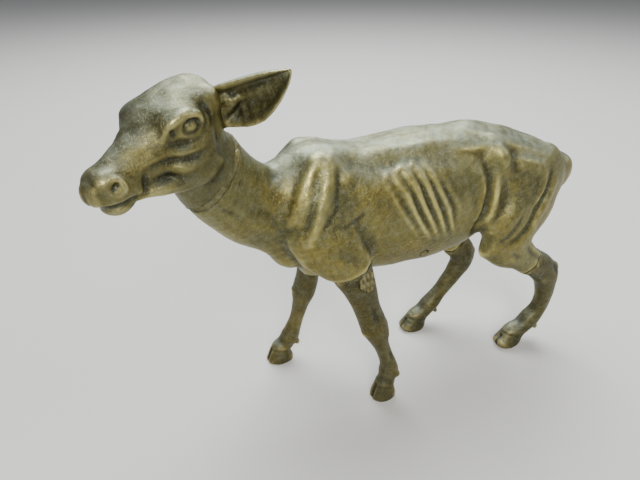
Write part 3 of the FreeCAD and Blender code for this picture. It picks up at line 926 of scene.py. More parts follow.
BACK = (
    Stroke(R, ((-45, -9, 134), (-30, -9, 131), (-14, -10, 130), (2, -11, 130), (16, -12, 130)), 2.6, 0.9),
    Stroke(C, ((-40, -14, 127), (-28, -15, 125), (-14, -15, 125), (0, -16, 125)), 3.0, 0.7),
    Stroke(R, ((8, -15, 127), (18, -16, 126.5), (28, -16, 126)), 1.3, 0.9),
    Stroke(R, ((20, -7, 133), (27, -11, 131), (36, -14, 127), (48, -15, 122), (60, -14, 117)), 2.2, 0.8),
    Stroke(R, ((31, -16, 126), (33, -19, 121), (34, -20, 116)), 2.5, 2.1),
    Stroke(C, ((18, -17, 122), (24, -19, 119), (26, -20, 113)), 3.6, 1.6),
    Stroke(C, ((39, -17, 123), (41, -19, 117), (41, -20, 111)), 2.2, 1.1),
    Stroke(R, ((31, -2, 133), (25, -2, 134), (19, -2, 133)), 4.4, 0.45),
    Stroke(C, ((45, -12, 125), (58, -11, 119), (70, -9, 113)), 3.0, 0.7),
)
THIGH = (
    Stroke(C, ((25, -21, 117), (27.5, -22, 106), (26.5, -22, 95), (24, -24, 85), (26, -24, 79)), 1.9, 2.7),
    Stroke(R, ((30, -22, 113), (31, -22, 103), (29, -23, 92), (29, -24, 84)), 2.0, 1.5),
    Stroke(C, ((36, -22, 108), (37, -23, 100), (36, -24, 94)), 2.4, 1.0),
    Stroke(R, ((40, -20, 118), (49, -20, 116), (60, -19, 110)), 2.6, 1.6),
    Stroke(R, ((60.5, -19, 110), (59.5, -20, 104), (55, -22, 95)), 2.0, 1.0),
    Stroke(C, ((64, -17, 108), (62, -18, 100), (55, -22, 92), (52, -24, 86), (46, -24, 80), (40, -24, 76)),
           1.5, 1.7),
    Stroke(R, ((46, -23, 100), (43, -24, 93), (37, -24, 85), (33, -24, 80)), 3.6, 1.3),
    Stroke(C, ((46, -24, 92), (41, -24, 83), (36, -24, 77)), 1.2, 0.8),
    Stroke(R, ((69, -14, 108), (66, -17, 98), (58, -21, 88), (53, -23, 79)), 2.2, 1.0),
    Stroke(C, ((52, -24, 72), (58, -24, 66), (64, -23, 61)), 1.2, 0.7),
    Stroke(C, ((44, -24, 71), (50, -24, 66)), 1.4, 0.6),
)
NECK_WORK = (
    Stroke(R, ((-96, -17, 120), (-88, -17, 111), (-78, -15, 104), (-68, -13, 98)), 3.0, 0.9),
    Stroke(C, ((-92, -18, 126), (-85, -16, 117), (-76, -14, 110)), 3.0, 0.8),
    Stroke(R, ((-84, -8, 131), (-76, -6, 128), (-68, -4, 130)), 2.6, 0.5),
    Stroke(C, ((-99, -19, 122), (-93, -20, 117), (-87, -18, 110)), 1.1, 0.5),
)


def both_sides(strokes: tuple, shift: float = 0.0) -> list[Stroke]:
    """The passes, then the same ones on the far flank moved along by the shift."""
    return [*strokes, *(s.mirrored(shift) for s in strokes)]


def head_strokes() -> list[Stroke]:
    """The tool work on the head, both sides.

    Returns:
        The passes, on the stand's axes.
    """
    near = (
        (R, ((6.8, 10.8, -4.0), (4.0, 12.4, -2.2), (0.4, 13.2, -1.4), (-2.8, 13.4, -1.8)), 1.15, 1.7),
        (R, ((-1.8, 13.4, -2.6), (-4.6, 13.6, -3.4), (-6.4, 13.4, -6.4)), 0.95, 1.5),
        (R, ((4.2, 12.2, -7.2), (1.4, 13.0, -9.1), (-2.4, 13.4, -9.2), (-5.8, 13.2, -7.4)), 0.9, 0.35),
        (C, ((6.4, 11.2, -6.0), (4.8, 11.8, -5.6)), 1.1, 1.3),
        (R, ((7.0, 11.2, -4.6), (8.8, 10.6, -6.4), (9.8, 10.2, -8.4)), 1.1, 0.9),
        (C, ((7.2, 11.0, -8.0), (4.0, 12.0, -10.6), (-1.0, 13.0, -11.2)), 1.6, 0.8),
        (R, ((19.4, 8.0, -11.2), (13.0, 9.6, -12.2), (5.0, 12.0, -12.8),
             (-3.9, 13.5, -12.4), (-8, 13.2, -10.6)),
         1.8, 1.2),
        (C, ((16.4, 8.6, -14.0), (8.9, 11.0, -14.4), (1.5, 12.5, -15.4), (-4, 12.8, -15.6)), 1.3, 1.2),
        (R, ((15.2, 8.8, -16.8), (6.1, 11.0, -17.9), (0.6, 12.2, -18.8)), 1.7, 0.9),
        (C, ((16.9, 8.5, -14.6), (17.4, 8.4, -18.0), (18.6, 8.0, -21.7)), 1.0, 1.0),
        (C, ((27.6, 5.4, -13.8), (26.6, 6.0, -15.2)), 1.2, 1.7),
        (R, ((28.6, 4.8, -12.4), (26.4, 5.8, -12.2), (24.9, 6.4, -13.4),
             (24.8, 6.6, -15.9), (26.8, 6.6, -17.0)),
         0.9, 0.8),
        (C, ((33.2, 0.0, -20.9), (30.5, 4.6, -21.4), (26.0, 6.8, -21.7),
             (20.0, 7.9, -21.0), (16.5, 8.3, -19.7)),
         0.9, 1.2),
        (C, ((-6.5, 13.4, -9.0), (-8.6, 12.6, -3.6), (-8.0, 11.6, 0.6)), 1.5, 0.7),
        (C, ((-12.0, 12.4, -5.5), (-12.6, 12.6, -12.0), (-11.0, 12.6, -18.5)), 1.6, 0.9),
        (C, ((-9.0, 12.6, -1.4), (-10.6, 12.4, -6.0), (-10.0, 12.6, -9.0)), 0.7, 0.7),
        (C, ((12.0, 9.0, -7.0), (16.0, 8.0, -9.5), (21.0, 6.6, -11.0)), 2.6, 0.6),
    )
    middle = (
        (C, ((33.4, 0.0, -13.2), (34.2, 0.0, -16.0), (34.0, 0.0, -19.6)), 0.7, 0.6),
        (C, ((-12.0, 0.0, 4.0), (-4.0, 0.0, 3.0), (5.0, 0.0, -0.6)), 3.4, 0.7),
    )
    out = [Stroke(t, tuple(on_head(*p) for p in pts), r, h) for t, pts, r, h in middle]
    for side in (1, -1):
        out += [Stroke(t, tuple(on_head(a, side * b, c) for a, b, c in pts), r, h)
                for t, pts, r, h in near]
    return out


# ------------------------------------------------------------------------------------
# The castings
# ------------------------------------------------------------------------------------
JOINT_REACH = 6.0  # How far from a joint the neighbouring surface matters.


@dataclass
class Finish:
    """Materials of the pieces, by their part in the object."""

    bronze: bpy.types.Material
    limb: bpy.types.Material
    head: bpy.types.Material
    braze: bpy.types.Material
    plug: bpy.types.Material
    pin: bpy.types.Material


class Casting:
    """A piece that stands in for one part of the fixed frame."""

    name: str
    slot: str = "cast_bronze"

    def build(self) -> bpy.types.Object:
        """Models the piece.

        Returns:
            The new object.
        """
        raise NotImplementedError

    def dress(self, piece: bpy.types.Object, material: bpy.types.Material) -> None:
        """Gives the piece its material and its place in the object.

        Args:
            piece: The modelled object.
            material: What it is made of.
        """
        piece.data.materials.clear()
        piece.data.materials.append(material)
        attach(piece, "root")
        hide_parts(self.name)


@dataclass
class Band(Casting):
    """A ring of brazing metal, modelled together with the piece whose joint it closes."""

    name: str
    ring: bpy.types.Object
    slot: str = "brazing_metal"

    def build(self) -> bpy.types.Object:
        """The ring, which its neighbour has modelled."""
        return self.ring


def brazing(part: Clay, around: np.ndarray, drop: np.ndarray, step: float, ground_in: float, seed: int,
            proud: float = 0.10) -> Clay:
    """The ring of metal in a joint's ground step, dressed to a low bead.

    Args:
        part: Clay of the piece whose end is stepped.
        around: The neighbouring piece's distances on the same grid.
        drop: Distance of each place beyond the joint plane.
        step: Height of the step.
        ground_in: Depth of the step.
        seed: Start of the bead's random unevenness.
        proud: Height of the bead over the surface around it.
    Returns:
        The clay of the ring.
    """
    lap, dip, skin_depth = 0.9, 0.26, 0.65
    surface = part.like(blended(part.value, around, 1.0)).roughen(1.9, 0.13, seed)
    off = np.abs(drop - step / 2)
    spread = off / (step / 2 + lap)
    outer = np.maximum(surface.value - proud + dip * spread**2, off - step / 2 - lap)
    filled = np.maximum(np.maximum(outer, off - step / 2), -(part.value + ground_in))
    skin = np.maximum(outer, -(surface.value + skin_depth))
    return part.like(np.minimum(filled, skin))


def around_joint(clay: Clay, body: Clay, at: np.ndarray, ahead: np.ndarray) -> tuple[np.ndarray, np.ndarray]:
    """What lies about a joint plane on a piece's own grid.

    Args:
        clay: Clay of the piece.
        body: Clay of the body that it joins.
        at: Middle of the joint.
        ahead: Direction from the body into the piece.
    Returns:
        Distance of each place beyond the plane, and the body's distances near it.
    """
    grid = clay.whole_grid()
    beyond = (grid - at.astype(np.float32)) @ ahead.astype(np.float32)
    near = np.abs(beyond) < JOINT_REACH
    around = np.full(clay.value.shape, FAR, np.float32)
    around[near] = body.read(grid[near])
    return beyond, around


@dataclass
class Leg(Casting):
    """One separately cast leg, from its joint to the hoof.

    Attributes:
        name: The piece's name.
        rows: Its table of sections; the first is the joint.
        pitch: Spacing of the clay's grid.
        dewclaw: Radius of the two small claws behind the pastern.
        dowel_radius: Radius of the dowel in its joint.
        dowel_length: Length of that dowel.
        step: Height of the ground step that the brazing metal fills.
        ground_in: Depth of that step.
        seed: Start of its random unevenness.
        body: The body's clay, which the joint is dressed flush with.
        under_body: Whether the top of the leg lies against the belly.
        patch: Middle and radius of a lump of brazing metal on the joint, if any.
        strokes: Tool work on the leg.
    """

    name: str
    rows: tuple
    pitch: float = 0.42
    dewclaw: float = 1.4
    dowel_radius: float = 2.0
    dowel_length: float = 15.0
    step: float = 1.8
    ground_in: float = 1.3
    seed: int = 1
    body: Clay | None = None
    under_body: bool = False
    patch: tuple | None = None
    strokes: tuple = ()

    def full(self, above: float = 8.0) -> Clay:
        """The leg's clay before the joint is cut.

        Args:
            above: How far it reaches above the joint.
        Returns:
            The clay.
        """
        mass = limb_mass(self.rows)
        at, down = joint_of(self.rows)
        top = limb_mass(((*(at - down * above), *self.rows[0][3:5], self.rows[0][5]), *self.rows))
        low, high = mass.reach()
        low[2] = -1.5
        high[2] += above
        clay = Clay(low, high, self.pitch)
        clay.join(top)
        px, py, pz, deep, wide, lean = self.rows[-4]
        back = np.array([math.cos(math.radians(lean)), 0.0, math.sin(math.radians(lean))])
        claw = (self.dewclaw * 0.95, self.dewclaw * 0.85, self.dewclaw * 1.25)
        for side in (-1, 1):
            at_claw = np.array([px, py, pz]) + back * (deep - 1.0) + np.array([0, side * wide * 0.52, -1.6])
            clay.join(Egg(tuple(at_claw), claw), 1.1)
        x, y, _, deep, wide, _ = self.rows[-1]
        for side in (-1, 1):
            front = Egg((x - deep * 0.10, y + side * wide * 0.42, 1.8), (deep * 0.60, wide * 0.46, 3.4))
            heel = Egg((x + deep * 0.50, y + side * wide * 0.40, 2.2), (deep * 0.36, wide * 0.44, 2.8))
            clay.join(front, 1.6)
            clay.join(heel, 1.4)
        toe = x - deep
        clay.work(Stroke(C, ((x - deep * 0.75, y, 8.5), (toe, y, 5.0), (toe - 0.5, y, 2.0), (toe, y, -1.0)),
                         0.7, 2.2, False))
        clay.work(Stroke(C, ((x + deep, y, 5.5), (x + deep, y, -1.0)), 0.9, 1.3, False))
        cx, cy, cz, long, broad, _ = self.rows[-2]
        ring = [(cx + long * 1.1 * math.cos(a), cy + broad * math.sin(a), cz + 0.9 - 0.7 * math.cos(a))
                for a in np.linspace(0, 2 * math.pi, 13)]
        clay.work(Stroke(C, tuple(ring), 0.7, 0.16, False))
        clay.work(Stroke(R, tuple((a, b, c + 1.4) for a, b, c in ring), 1.1, 0.12, False))
        for stroke in self.strokes:
            clay.work(stroke)
        clay.roughen(9.0, 0.12, self.seed)
        clay.roughen(2.6, 0.04, self.seed + 20)
        return clay

    def parted(self) -> tuple[Clay, Clay]:
        """Cuts the joint.

        Returns:
            The leg with its ground step, and the ring of brazing metal that fills it.
        """
        clay = self.full()
        at, down = joint_of(self.rows)
        drop, around = around_joint(clay, self.body, at, down)
        ring = brazing(clay, around, drop, self.step, self.ground_in, self.seed + 40)
        self.whole = clay.like(clay.value)
        core = np.maximum(clay.value + self.ground_in, -drop)
        leg = clay.like(np.minimum(np.maximum(clay.value, self.step - drop), core))
        if self.patch:
            middle, radius = self.patch
            off = (clay.whole_grid() - np.array(middle, np.float32)) * np.array([1, 0.55, 1], np.float32)
            lump = np.maximum(np.linalg.norm(off, axis=-1) - radius, clay.value - 0.26)
            lump = np.maximum(np.maximum(lump, -0.3 - drop), -(clay.value + self.ground_in))
            leg.value = np.maximum(leg.value, -lump - 0.03)
            ring.value = np.minimum(ring.value, clay.like(lump).roughen(1.7, 0.30, 5).value)
        if self.under_body:
            for part in (leg, ring):
                part.carve(trunk_mass())
        leg.carve(Rod(tuple(at - down * (self.dowel_length / 2 + 0.2)), tuple(down),
                      self.dowel_radius + 0.15, self.dowel_length + 0.4))
        return leg, ring

    def build(self) -> bpy.types.Object:
        """Models the leg and, beside it, its ring of brazing metal.

        Returns:
            The leg.
        """
        leg, ring = self.parted()
        self.ring = cast(self.name + "_brazing", ring, self.whole)
        piece = cast(self.name + "_casting", leg, self.whole)
        stand(piece)
        return piece

    def dress_ring(self, material: bpy.types.Material) -> None:
        """Gives the ring of brazing metal its material and place."""
        Band(self.name + "_braze", self.ring).dress(self.ring, material)


def select_only(piece: bpy.types.Object) -> None:
    """Makes one object the selected and active one.

    Args:
        piece: The object.
    """
    bpy.ops.object.select_all(action="DESELECT")
    piece.select_set(True)
    bpy.context.view_layer.objects.active = piece


def stand(piece: bpy.types.Object) -> None:
    """Cuts a piece off level with the ground if it reaches below it.

    Args:
        piece: The object.
    """
    select_only(piece)
    if min(v.co.z for v in piece.data.vertices) >= DATUM.z:
        return
    bpy.ops.object.mode_set(mode="EDIT")
    bpy.ops.mesh.select_all(action="SELECT")
    bpy.ops.mesh.bisect(plane_co=(0, 0, DATUM.z), plane_no=(0, 0, 1), use_fill=True, clear_inner=True)
    bpy.ops.object.mode_set(mode="OBJECT")
    piece.data.polygons.foreach_set("use_smooth", [True] * len(piece.data.polygons))


def swallow(name: str, piece: bpy.types.Object, hollow: Clay) -> bpy.types.Object:
    """Adds the wall of the hollow inside a casting to its mesh.

    Args:
        name: Name for the scratch mesh.
        piece: The casting.
        hollow: The shape of the space inside it.
    Returns:
        The casting.
    """
    inside = cast(name, hollow, calm=0.4)
    select_only(inside)
    bpy.ops.object.mode_set(mode="EDIT")
    bpy.ops.mesh.select_all(action="SELECT")
    bpy.ops.mesh.flip_normals()
    bpy.ops.object.mode_set(mode="OBJECT")
    bpy.ops.object.select_all(action="DESELECT")
    inside.select_set(True)
    piece.select_set(True)
    bpy.context.view_layer.objects.active = piece
    bpy.ops.object.join()
    return piece


@dataclass
class Torso(Casting):
    """The hollow body casting with the neck and the upper limbs.

    Attributes:
        name: The piece's name.
        pitch: Spacing of the clay's grid.
        wall: Least thickness of the wall.
        slack: How much thicker the wall is between the swellings.
        limbs: Limb parts that belong to it, each with its joint and fillet.
        dowel_hole: Radius and length of the holes for the leg dowels.
        spigot_hole: Radius and length of the bore for the head's spigot.
    """

    name: str = "torso_shell"
    pitch: float = 0.78
    wall: float = 3.0
    slack: float = 1.2
    limbs: tuple = ()
    dowel_hole: tuple = (2.15, 15.4)
    spigot_hole: tuple = (7.75, 12.0)

    def clay_of_body(self, pitch: float) -> Clay:
        """The whole body's clay before joints and plug holes are cut.

        Args:
            pitch: Spacing of its grid.
        Returns:
            The clay.
        """
        clay = Clay((-112, -33, 50), (100, 33, 146), pitch)
        clay.join(trunk_mass())
        clay.join(neck_mass(), 9.0)
        for side in (-1, 1):
            for (x, y, z), radii, soft in SWELLS:
                clay.join(Egg((x, side * y, z), radii), soft)
        clay.join(Egg(*BREAST[:2]), BREAST[2])
        for rows, joint, soft in self.limbs:
            mass = limb_mass(rows)
            if joint is not None:
                at, down = joint_of(joint)
                mass = Cut(mass, tuple(at), down)
            clay.join(mass, soft)
        clay.smooth(0.8)
        for strokes, shift in ((RIBS, 0.0), (SHOULDER, 0.0), (BACK, 0.0), (THIGH, -10.0), (NECK_WORK, 0.0)):
            for stroke in both_sides(strokes, shift):
                clay.work(stroke)
        clay.roughen(11.0, 0.30, 3)
        clay.roughen(4.0, 0.10, 4)
        return clay

    def build(self) -> bpy.types.Object:
        """Models the casting, open at its joints and plug holes.

        Returns:
            The casting, with the wall of its hollow.
        """
        self.body = self.clay_of_body(self.pitch)
        clay = self.body.like(self.body.value.copy())
        clay.keep(THROAT, THROAT_AHEAD)
        radius, length = self.dowel_hole
        for rows in (LEFT_FORE[4:], RIGHT_FORE[4:], LEFT_HIND, RIGHT_HIND):
            at, down = joint_of(rows)
            clay.carve(Rod(tuple(at - down * length / 2), tuple(down), radius, length))
        for plug in PLUGS:
            clay.carve(Rod(plug.start, plug.toward, plug.radius + 0.2, 40.0))
        clay.carve(Rod(tuple(np.array(THROAT) - THROAT_AHEAD * 9.3), tuple(THROAT_AHEAD), *self.spigot_hole))
        piece = cast(self.name + "_casting", clay, self.body)
        hollow = Clay((-92, -24, 66), (84, 24, 134), 1.5)
        hollow.join(trunk_mass(self.wall + self.slack))
        for plug in PLUGS:
            hollow.carve(Rod(plug.start, plug.toward, plug.radius + 1.6, 40.0))
        return swallow("core_wall", piece, hollow)


@dataclass(frozen=True)
class PlugSpec:
    """A round plug in a core hole.

    Attributes:
        name: The CAD part that it stands in for.
        start: A place inside the body on its axis.
        toward: Direction outwards.
        radius: Its radius.
    """

    name: str
    start: tuple
    toward: tuple
    radius: float


PLUGS = (
    PlugSpec("core_plug_left_belly", (-4.0, -10.0, 88.0), (0.0, -0.66, -0.75), 1.9),
    PlugSpec("core_plug_right_ribs", (-14.0, 12.0, 100.0), (0.0, 1.0, 0.0), 1.9),
    PlugSpec("core_plug_right_loin", (24.0, 10.0, 112.0), (0.0, 0.98, 0.2), 1.9),
    PlugSpec("core_plug_breast", (-58.0, 0.0, 92.0), (-0.35, 0.0, -0.94), 1.9),
    PlugSpec("belly_plug", (10.0, 0.0, 85.0), (0.0, 0.0, -1.0), 5.0),
)


@dataclass
class Plug(Casting):
    """A bronze plug, filed almost flush with the body around it."""

    spec: PlugSpec
    body: Clay
    slot: str = "plug_bronze"
    depth: float = 3.0
    proud: float = 0.12

    def __post_init__(self) -> None:
        """Takes its name from the plug's own."""
        self.name = self.spec.name

    def build(self) -> bpy.types.Object:
        """Models the plug from the body's own surface.

        Returns:
            The plug.
        """
        start, ahead = np.array(self.spec.start), unit(np.array(self.spec.toward))
        run = np.linspace(0, 40, 161)
        seen = self.body.read(start + run[:, None] * ahead)
        out = run[np.argmax(seen > 0)]
        middle = start + ahead * out
        pad = self.spec.radius + self.depth + 2
        clay = self.body.excerpt(middle - pad, middle + pad, 0.3)
        flush = clay.like(clay.value)
        clay.value = np.maximum(clay.value - self.proud, -clay.value - self.depth)
        _, grid = clay.window(middle - pad, middle + pad)
        off = grid.reshape(-1, 3) - middle
        side = np.linalg.norm(off - (off @ ahead)[:, None] * ahead, axis=1) - self.spec.radius
        clay.value = -blended(-clay.value, -side.reshape(clay.value.shape).astype(np.float32), 0.5)
        clay.roughen(2.4, 0.08, 9)
        return cast(self.name + "_metal", clay, flush)


@dataclass
class Head(Casting):
    """The head casting, from the throat joint to the nose, with a short bore at its throat end.

    Attributes:
        body: The body's clay, which the joint is dressed flush with.
        name: The piece's name.
        pitch: Spacing of the clay's grid.
        step: Height of the ground step that the brazing metal fills.
        ground_in: Depth of that step.
        mouth: Radius and depth of the bore at its throat end.
    """

    body: Clay
    name: str = "head_shell"
    pitch: float = 0.42
    step: float = 1.8
    ground_in: float = 1.5
    mouth: tuple = (5.0, 9.0)

    def build(self) -> bpy.types.Object:
        """Models the head and, beside it, the ring of brazing metal at the throat.

        Returns:
            The head.
        """
        clay = Clay((-152, -50, 122), (-82, 12, 176), self.pitch)
        clay.join(head_mass())
        for side in (-1, 1):
            for spec in HEAD_SWELLS:
                clay.join(*on_face(spec, side))
        clay.join(*on_face(LOWER_LIP))
        for side in (-1, 1):
            clay.join(jaw_bar(side), 2.4)
        clay.join(neck_mass(), 4.5)
        clay.smooth(0.45)
        for side in (-1, 1):
            clay.carve(*on_face(EYE_SOCKET, side))
        for stroke in head_strokes():
            clay.work(stroke)
        for side in (-1, 1):
            clay.join(*on_face(EYEBALL, side))
        clay.roughen(7.0, 0.14, 11)
        clay.roughen(2.8, 0.03, 12)
        rise, around = around_joint(clay, self.body, np.array(THROAT), THROAT_AHEAD)
        ring = brazing(clay, around, rise, self.step, self.ground_in, 13, 0.02)
        core = np.maximum(clay.value + self.ground_in, -rise)
        head = clay.like(np.minimum(np.maximum(clay.value, self.step - rise), core))
        head.carve(Rod(tuple(np.array(THROAT) - THROAT_AHEAD), tuple(THROAT_AHEAD), *self.mouth))
        self.ring = cast("throat_brazing", ring, clay)
        return cast(self.name + "_casting", head, clay)

    def dress_ring(self, material: bpy.types.Material) -> None:
        """Gives the throat's brazing metal its material and place."""
        Band("throat_braze", self.ring).dress(self.ring, material)


@dataclass
class Ear(Casting):
    """A cupped leaf-shaped ear with a thick rim.

    Attributes:
        name: The piece's name.
        root: Where it leaves the head.
        tip: Its point.
        half: Half its width.
        cup: Depth of its hollow.
        opening: Direction that the hollow faces.
        pitch: Spacing of the clay's grid.
        thick: Thickness of its leaf.
        seed: Start of its random unevenness.
    """

    name: str
    root: tuple
    tip: tuple
    half: float
    cup: float
    opening: tuple
    pitch: float = 0.32
    thick: float = 1.1
    seed: int = 31

    def build(self) -> bpy.types.Object:
        """Models the ear from its length, its width and the direction that it faces.

        Returns:
            The ear.
        """
        root, tip = np.array(self.root), np.array(self.tip)
        length = np.linalg.norm(tip - root)
        ahead = (tip - root) / length
        front = unit(np.array(self.opening) - ahead * (np.array(self.opening) @ ahead))
        side = np.cross(front, ahead)
        pad = self.half + 4
        clay = Clay(np.minimum(root, tip) - pad, np.maximum(root, tip) + pad, self.pitch)
        where, grid = clay.window(np.minimum(root, tip) - pad, np.maximum(root, tip) + pad)
        off = grid - root.astype(np.float32)
        s, u, v = (off @ d.astype(np.float32) for d in (ahead, side, front))
        t = np.clip(s / length, 0.0, 1.0)
        above = self.half * 0.78 * (1.0 - t) ** 0.7
        below = self.half * (0.8 + 0.4 * np.sin(np.minimum(t / 0.45, 1.0) * np.pi / 2))
        below = below * np.clip((1.0 - t) / 0.55, 0, 1) ** 0.6
        upper = u * np.sign(side[2]) >= 0
        wide = np.where(upper, above, below) + 0.3
        depth = self.cup * (1.0 - 0.75 * t)
        cupped = -depth * (1 - np.clip(np.abs(u) / wide, 0, 1.2) ** 2)
        body = self.thick + 0.8 * (1 - t) + 0.7 * np.clip(np.abs(u) / wide, 0, 1) ** 3
        sheet = (np.abs(v - cupped) - body * 0.8) * 0.8
        edge = np.maximum(np.abs(u) - wide, np.maximum(-2.0 - s, s - length))
        leaf = -blended(-sheet, -edge, 1.0)
        along = np.linspace(-3.0, 6.0, 10)[:, None]
        thin = np.linspace(3.2, 1.6, 10)
        line = root + ahead * along - front * (0.7 + 0.05 * along)
        stalk = Sweep(line, np.tile(side, (10, 1)), thin * 1.8, thin, thin)
        clay.value[where] = leaf.astype(np.float32)
        clay.join(stalk, 3.2)

        def on_leaf(a: float, b: float, c: float) -> tuple:
            """A place by its share of the length, share of the half width, and height."""
            return tuple(root + ahead * length * a + side * np.sign(side[2]) * self.half * b + front * c)

        for tool, b_c, places, radius, amount in (
            (R, 0.6, ((0.04, 0.66), (0.3, 0.56), (0.6, 0.36), (0.92, 0.08)), 1.5, 1.3),
            (C, -1.5, ((0.10, 0.34), (0.3, 0.30), (0.6, 0.18), (0.85, 0.05)), 1.2, 1.0),
            (R, -2.0, ((0.10, -0.05), (0.4, -0.12), (0.75, -0.10)), 1.4, 0.7),
            (C, -2.0, ((0.0, -0.30), (0.3, -0.45), (0.6, -0.40)), 1.4, 0.8),
            (R, 0.6, ((0.02, -0.74), (0.3, -1.08), (0.6, -0.98), (0.9, -0.42)), 1.2, 0.7),
            (C, -3.0, ((0.02, 0.05), (0.20, 0.02)), 1.8, 1.2),
        ):
            clay.work(Stroke(tool, tuple(on_leaf(a, b, b_c) for a, b in places), radius, amount))
        clay.roughen(5.0, 0.12, self.seed)
        clay.roughen(1.9, 0.03, self.seed + 1)
        leaf_shape = clay.like(clay.value)
        clay.carve(Rod(tuple(root - ahead * 4.2), tuple(ahead), 1.2, 8.2))
        return cast(self.name + "_casting", clay, leaf_shape, 0.42)


@dataclass
class Tail(Casting):
    """The narrow tail, lying along the back of the thighs."""

    name: str = "tail"
    pitch: float = 0.4

    def build(self) -> bpy.types.Object:
        """Models the tail with its hair lines.

        Returns:
            The tail.
        """
        mass = limb_mass(TAIL)
        clay = Clay(*mass.reach(), self.pitch)
        clay.join(mass)
        for y, shift in ((-3.2, 0.0), (-1.2, 0.6), (1.4, 0.6), (3.4, 0.0)):
            line = ((98 + shift, y, 101), (99.5 + shift, y * 1.1, 94), (97, y, 87), (92, y * 0.5, 80))
            clay.work(Stroke(C, line, 0.8, 0.6))
        clay.carve(trunk_mass())
        clay.roughen(4.0, 0.15, 51)
        return cast(self.name + "_casting", clay)


# ------------------------------------------------------------------------------------
# Finishes
# ------------------------------------------------------------------------------------
@dataclass(frozen=True)
class Patina:
    """Colours and textures of an old bronze surface.

    Attributes:
        name: The material's name.
        deep: Colour in the hollows.
        middle: Colour of the plain surface.
        bright: Colour where it is rubbed bare.
        rubbed: How readily raised places show bare metal.
        dust_and_sheen: Strength of the pale dust specks in the hollows, of the pale bloom, and of the
            painted sheen on top-facing surfaces that stands in for the overhead light's reflection.
        rough: Roughness of the plain surface.
        pit: Depth of the casting's fine pits, in metres.
        grain: Size of the fine grain, per metre.
        clouds: Size of the broad changes of tone, per metre.
        patches: Size of the smaller ones.
        haze: Size of the thin pale bloom's patches.
        sheen_and_bloom: Colour of the pale bloom and of the painted sheen on top-facing surfaces, which
            stands in for reflected overhead light.
        grit: Colour of the specks left in the hollows.
    """

    name: str
    deep: tuple
    middle: tuple
    bright: tuple
    rubbed: float
    dust_and_sheen: float
    rough: float
    pit: float
    grain: float
    clouds: float = 42.0
    patches: float = 130.0
    haze: float = 300.0
    sheen_and_bloom: tuple = (0.42, 0.51, 0.45)
    grit: tuple = (0.36, 0.37, 0.29)


BRONZE = Patina("old bronze", (0.062, 0.060, 0.030), (0.205, 0.190, 0.076), (0.680, 0.600, 0.225),
                0.9, 1.0, 0.43, 0.00012, 900.0)
LIMB_BRONZE = Patina("old bronze on the limbs", (0.040, 0.040, 0.024), (0.118, 0.108, 0.050),
                     (0.420, 0.360, 0.145), 0.9, 0.8, 0.50, 0.00014, 900.0)
HEAD_BRONZE = Patina("old bronze on the head", (0.044, 0.044, 0.026), (0.150, 0.142, 0.066),
                     (0.480, 0.430, 0.185), 0.9, 0.72, 0.45, 0.00012, 900.0)
BRAZING = Patina("brazing metal", (0.040, 0.040, 0.024), (0.142, 0.130, 0.060), (0.420, 0.360, 0.145),
                 0.7, 0.9, 0.52, 0.00022, 700.0)
PLUGGED = Patina("plug bronze", (0.042, 0.041, 0.026), (0.175, 0.150, 0.064), (0.520, 0.430, 0.155),
                 0.8, 0.7, 0.48, 0.00010, 1000.0)
PINNED = Patina("pin bronze", (0.042, 0.040, 0.024), (0.170, 0.146, 0.064), (0.520, 0.430, 0.155),
                0.9, 0.3, 0.38, 0.00006, 1200.0)


class Graph:
    """Short ways to add and join nodes."""

    def __init__(self, tree: bpy.types.NodeTree) -> None:
        """Works on the given tree."""
        self.tree = tree

    def add(self, kind: str, **settings: object) -> bpy.types.Node:
        """Adds a node.

        Args:
            kind: Its type.
            settings: Its properties.
        Returns:
            The node.
        """
        node = self.tree.nodes.new(kind)
        for key, value in settings.items():
            setattr(node, key, value)
        return node

    def feed(self, socket: bpy.types.NodeSocket, value: object) -> None:
        """Joins a socket to another one, or sets its value.

        Args:
            socket: The input socket.
            value: An output socket, or a plain value.
        """
        if isinstance(value, bpy.types.NodeSocket):
            self.tree.links.new(value, socket)
        else:
            socket.default_value = value

    def sum(self, how: str, a: object, b: object = 0.0, c: object = 0.0,
            clamp: bool = False) -> bpy.types.NodeSocket:
        """Result of a math node.

        Args:
            how: Its operation.
            a: First value or socket.
            b: Second value or socket.
            c: Third value or socket.
            clamp: Whether the result stays between 0 and 1.
        Returns:
            The output socket.
        """
        node = self.add("ShaderNodeMath", operation=how, use_clamp=clamp)
        for socket, value in zip(node.inputs, (a, b, c)):
            self.feed(socket, value)
        return node.outputs[0]

    def ramp(self, value: object, low: float, high: float, start: float = 0.0,
             end: float = 1.0) -> bpy.types.NodeSocket:
        """Smooth change between two values.

        Args:
            value: The value or socket that decides.
            low: Where the change begins.
            high: Where it ends.
            start: Result at the beginning.
            end: Result at the end.
        Returns:
            The output socket.
        """
        node = self.add("ShaderNodeMapRange", interpolation_type="SMOOTHSTEP")
        for name, number in (("Value", value), ("From Min", low), ("From Max", high),
                             ("To Min", start), ("To Max", end)):
            self.feed(node.inputs[name], number)
        return node.outputs[0]

    def mix(self, share: object, a: object, b: object) -> bpy.types.NodeSocket:
        """Mixes two colours.

        Args:
            share: How much of the second one.
            a: First colour or socket.
            b: Second colour or socket.
        Returns:
            The output socket.
        """
        node = self.add("ShaderNodeMix", data_type="RGBA")
        for socket, value in ((node.inputs[0], share), (node.inputs[6], a), (node.inputs[7], b)):
            self.feed(socket, value)
        return node.outputs[2]

    def noise(self, where: object, scale: float, detail: float, rough: float) -> bpy.types.NodeSocket:
        """Value of a noise texture.

        Args:
            where: Socket of the place.
            scale: Its size, per metre.
            detail: How many finer layers it has.
            rough: How strong they are.
        Returns:
            The output socket.
        """
        node = self.add("ShaderNodeTexNoise")
        self.feed(node.inputs["Vector"], where)
        self.feed(node.inputs["Scale"], scale)
        self.feed(node.inputs["Detail"], detail)
        self.feed(node.inputs["Roughness"], rough)
        return node.outputs[0]


def opaque(colour: tuple) -> tuple:
    """The colour with full opacity."""
    return (*colour, 1.0)


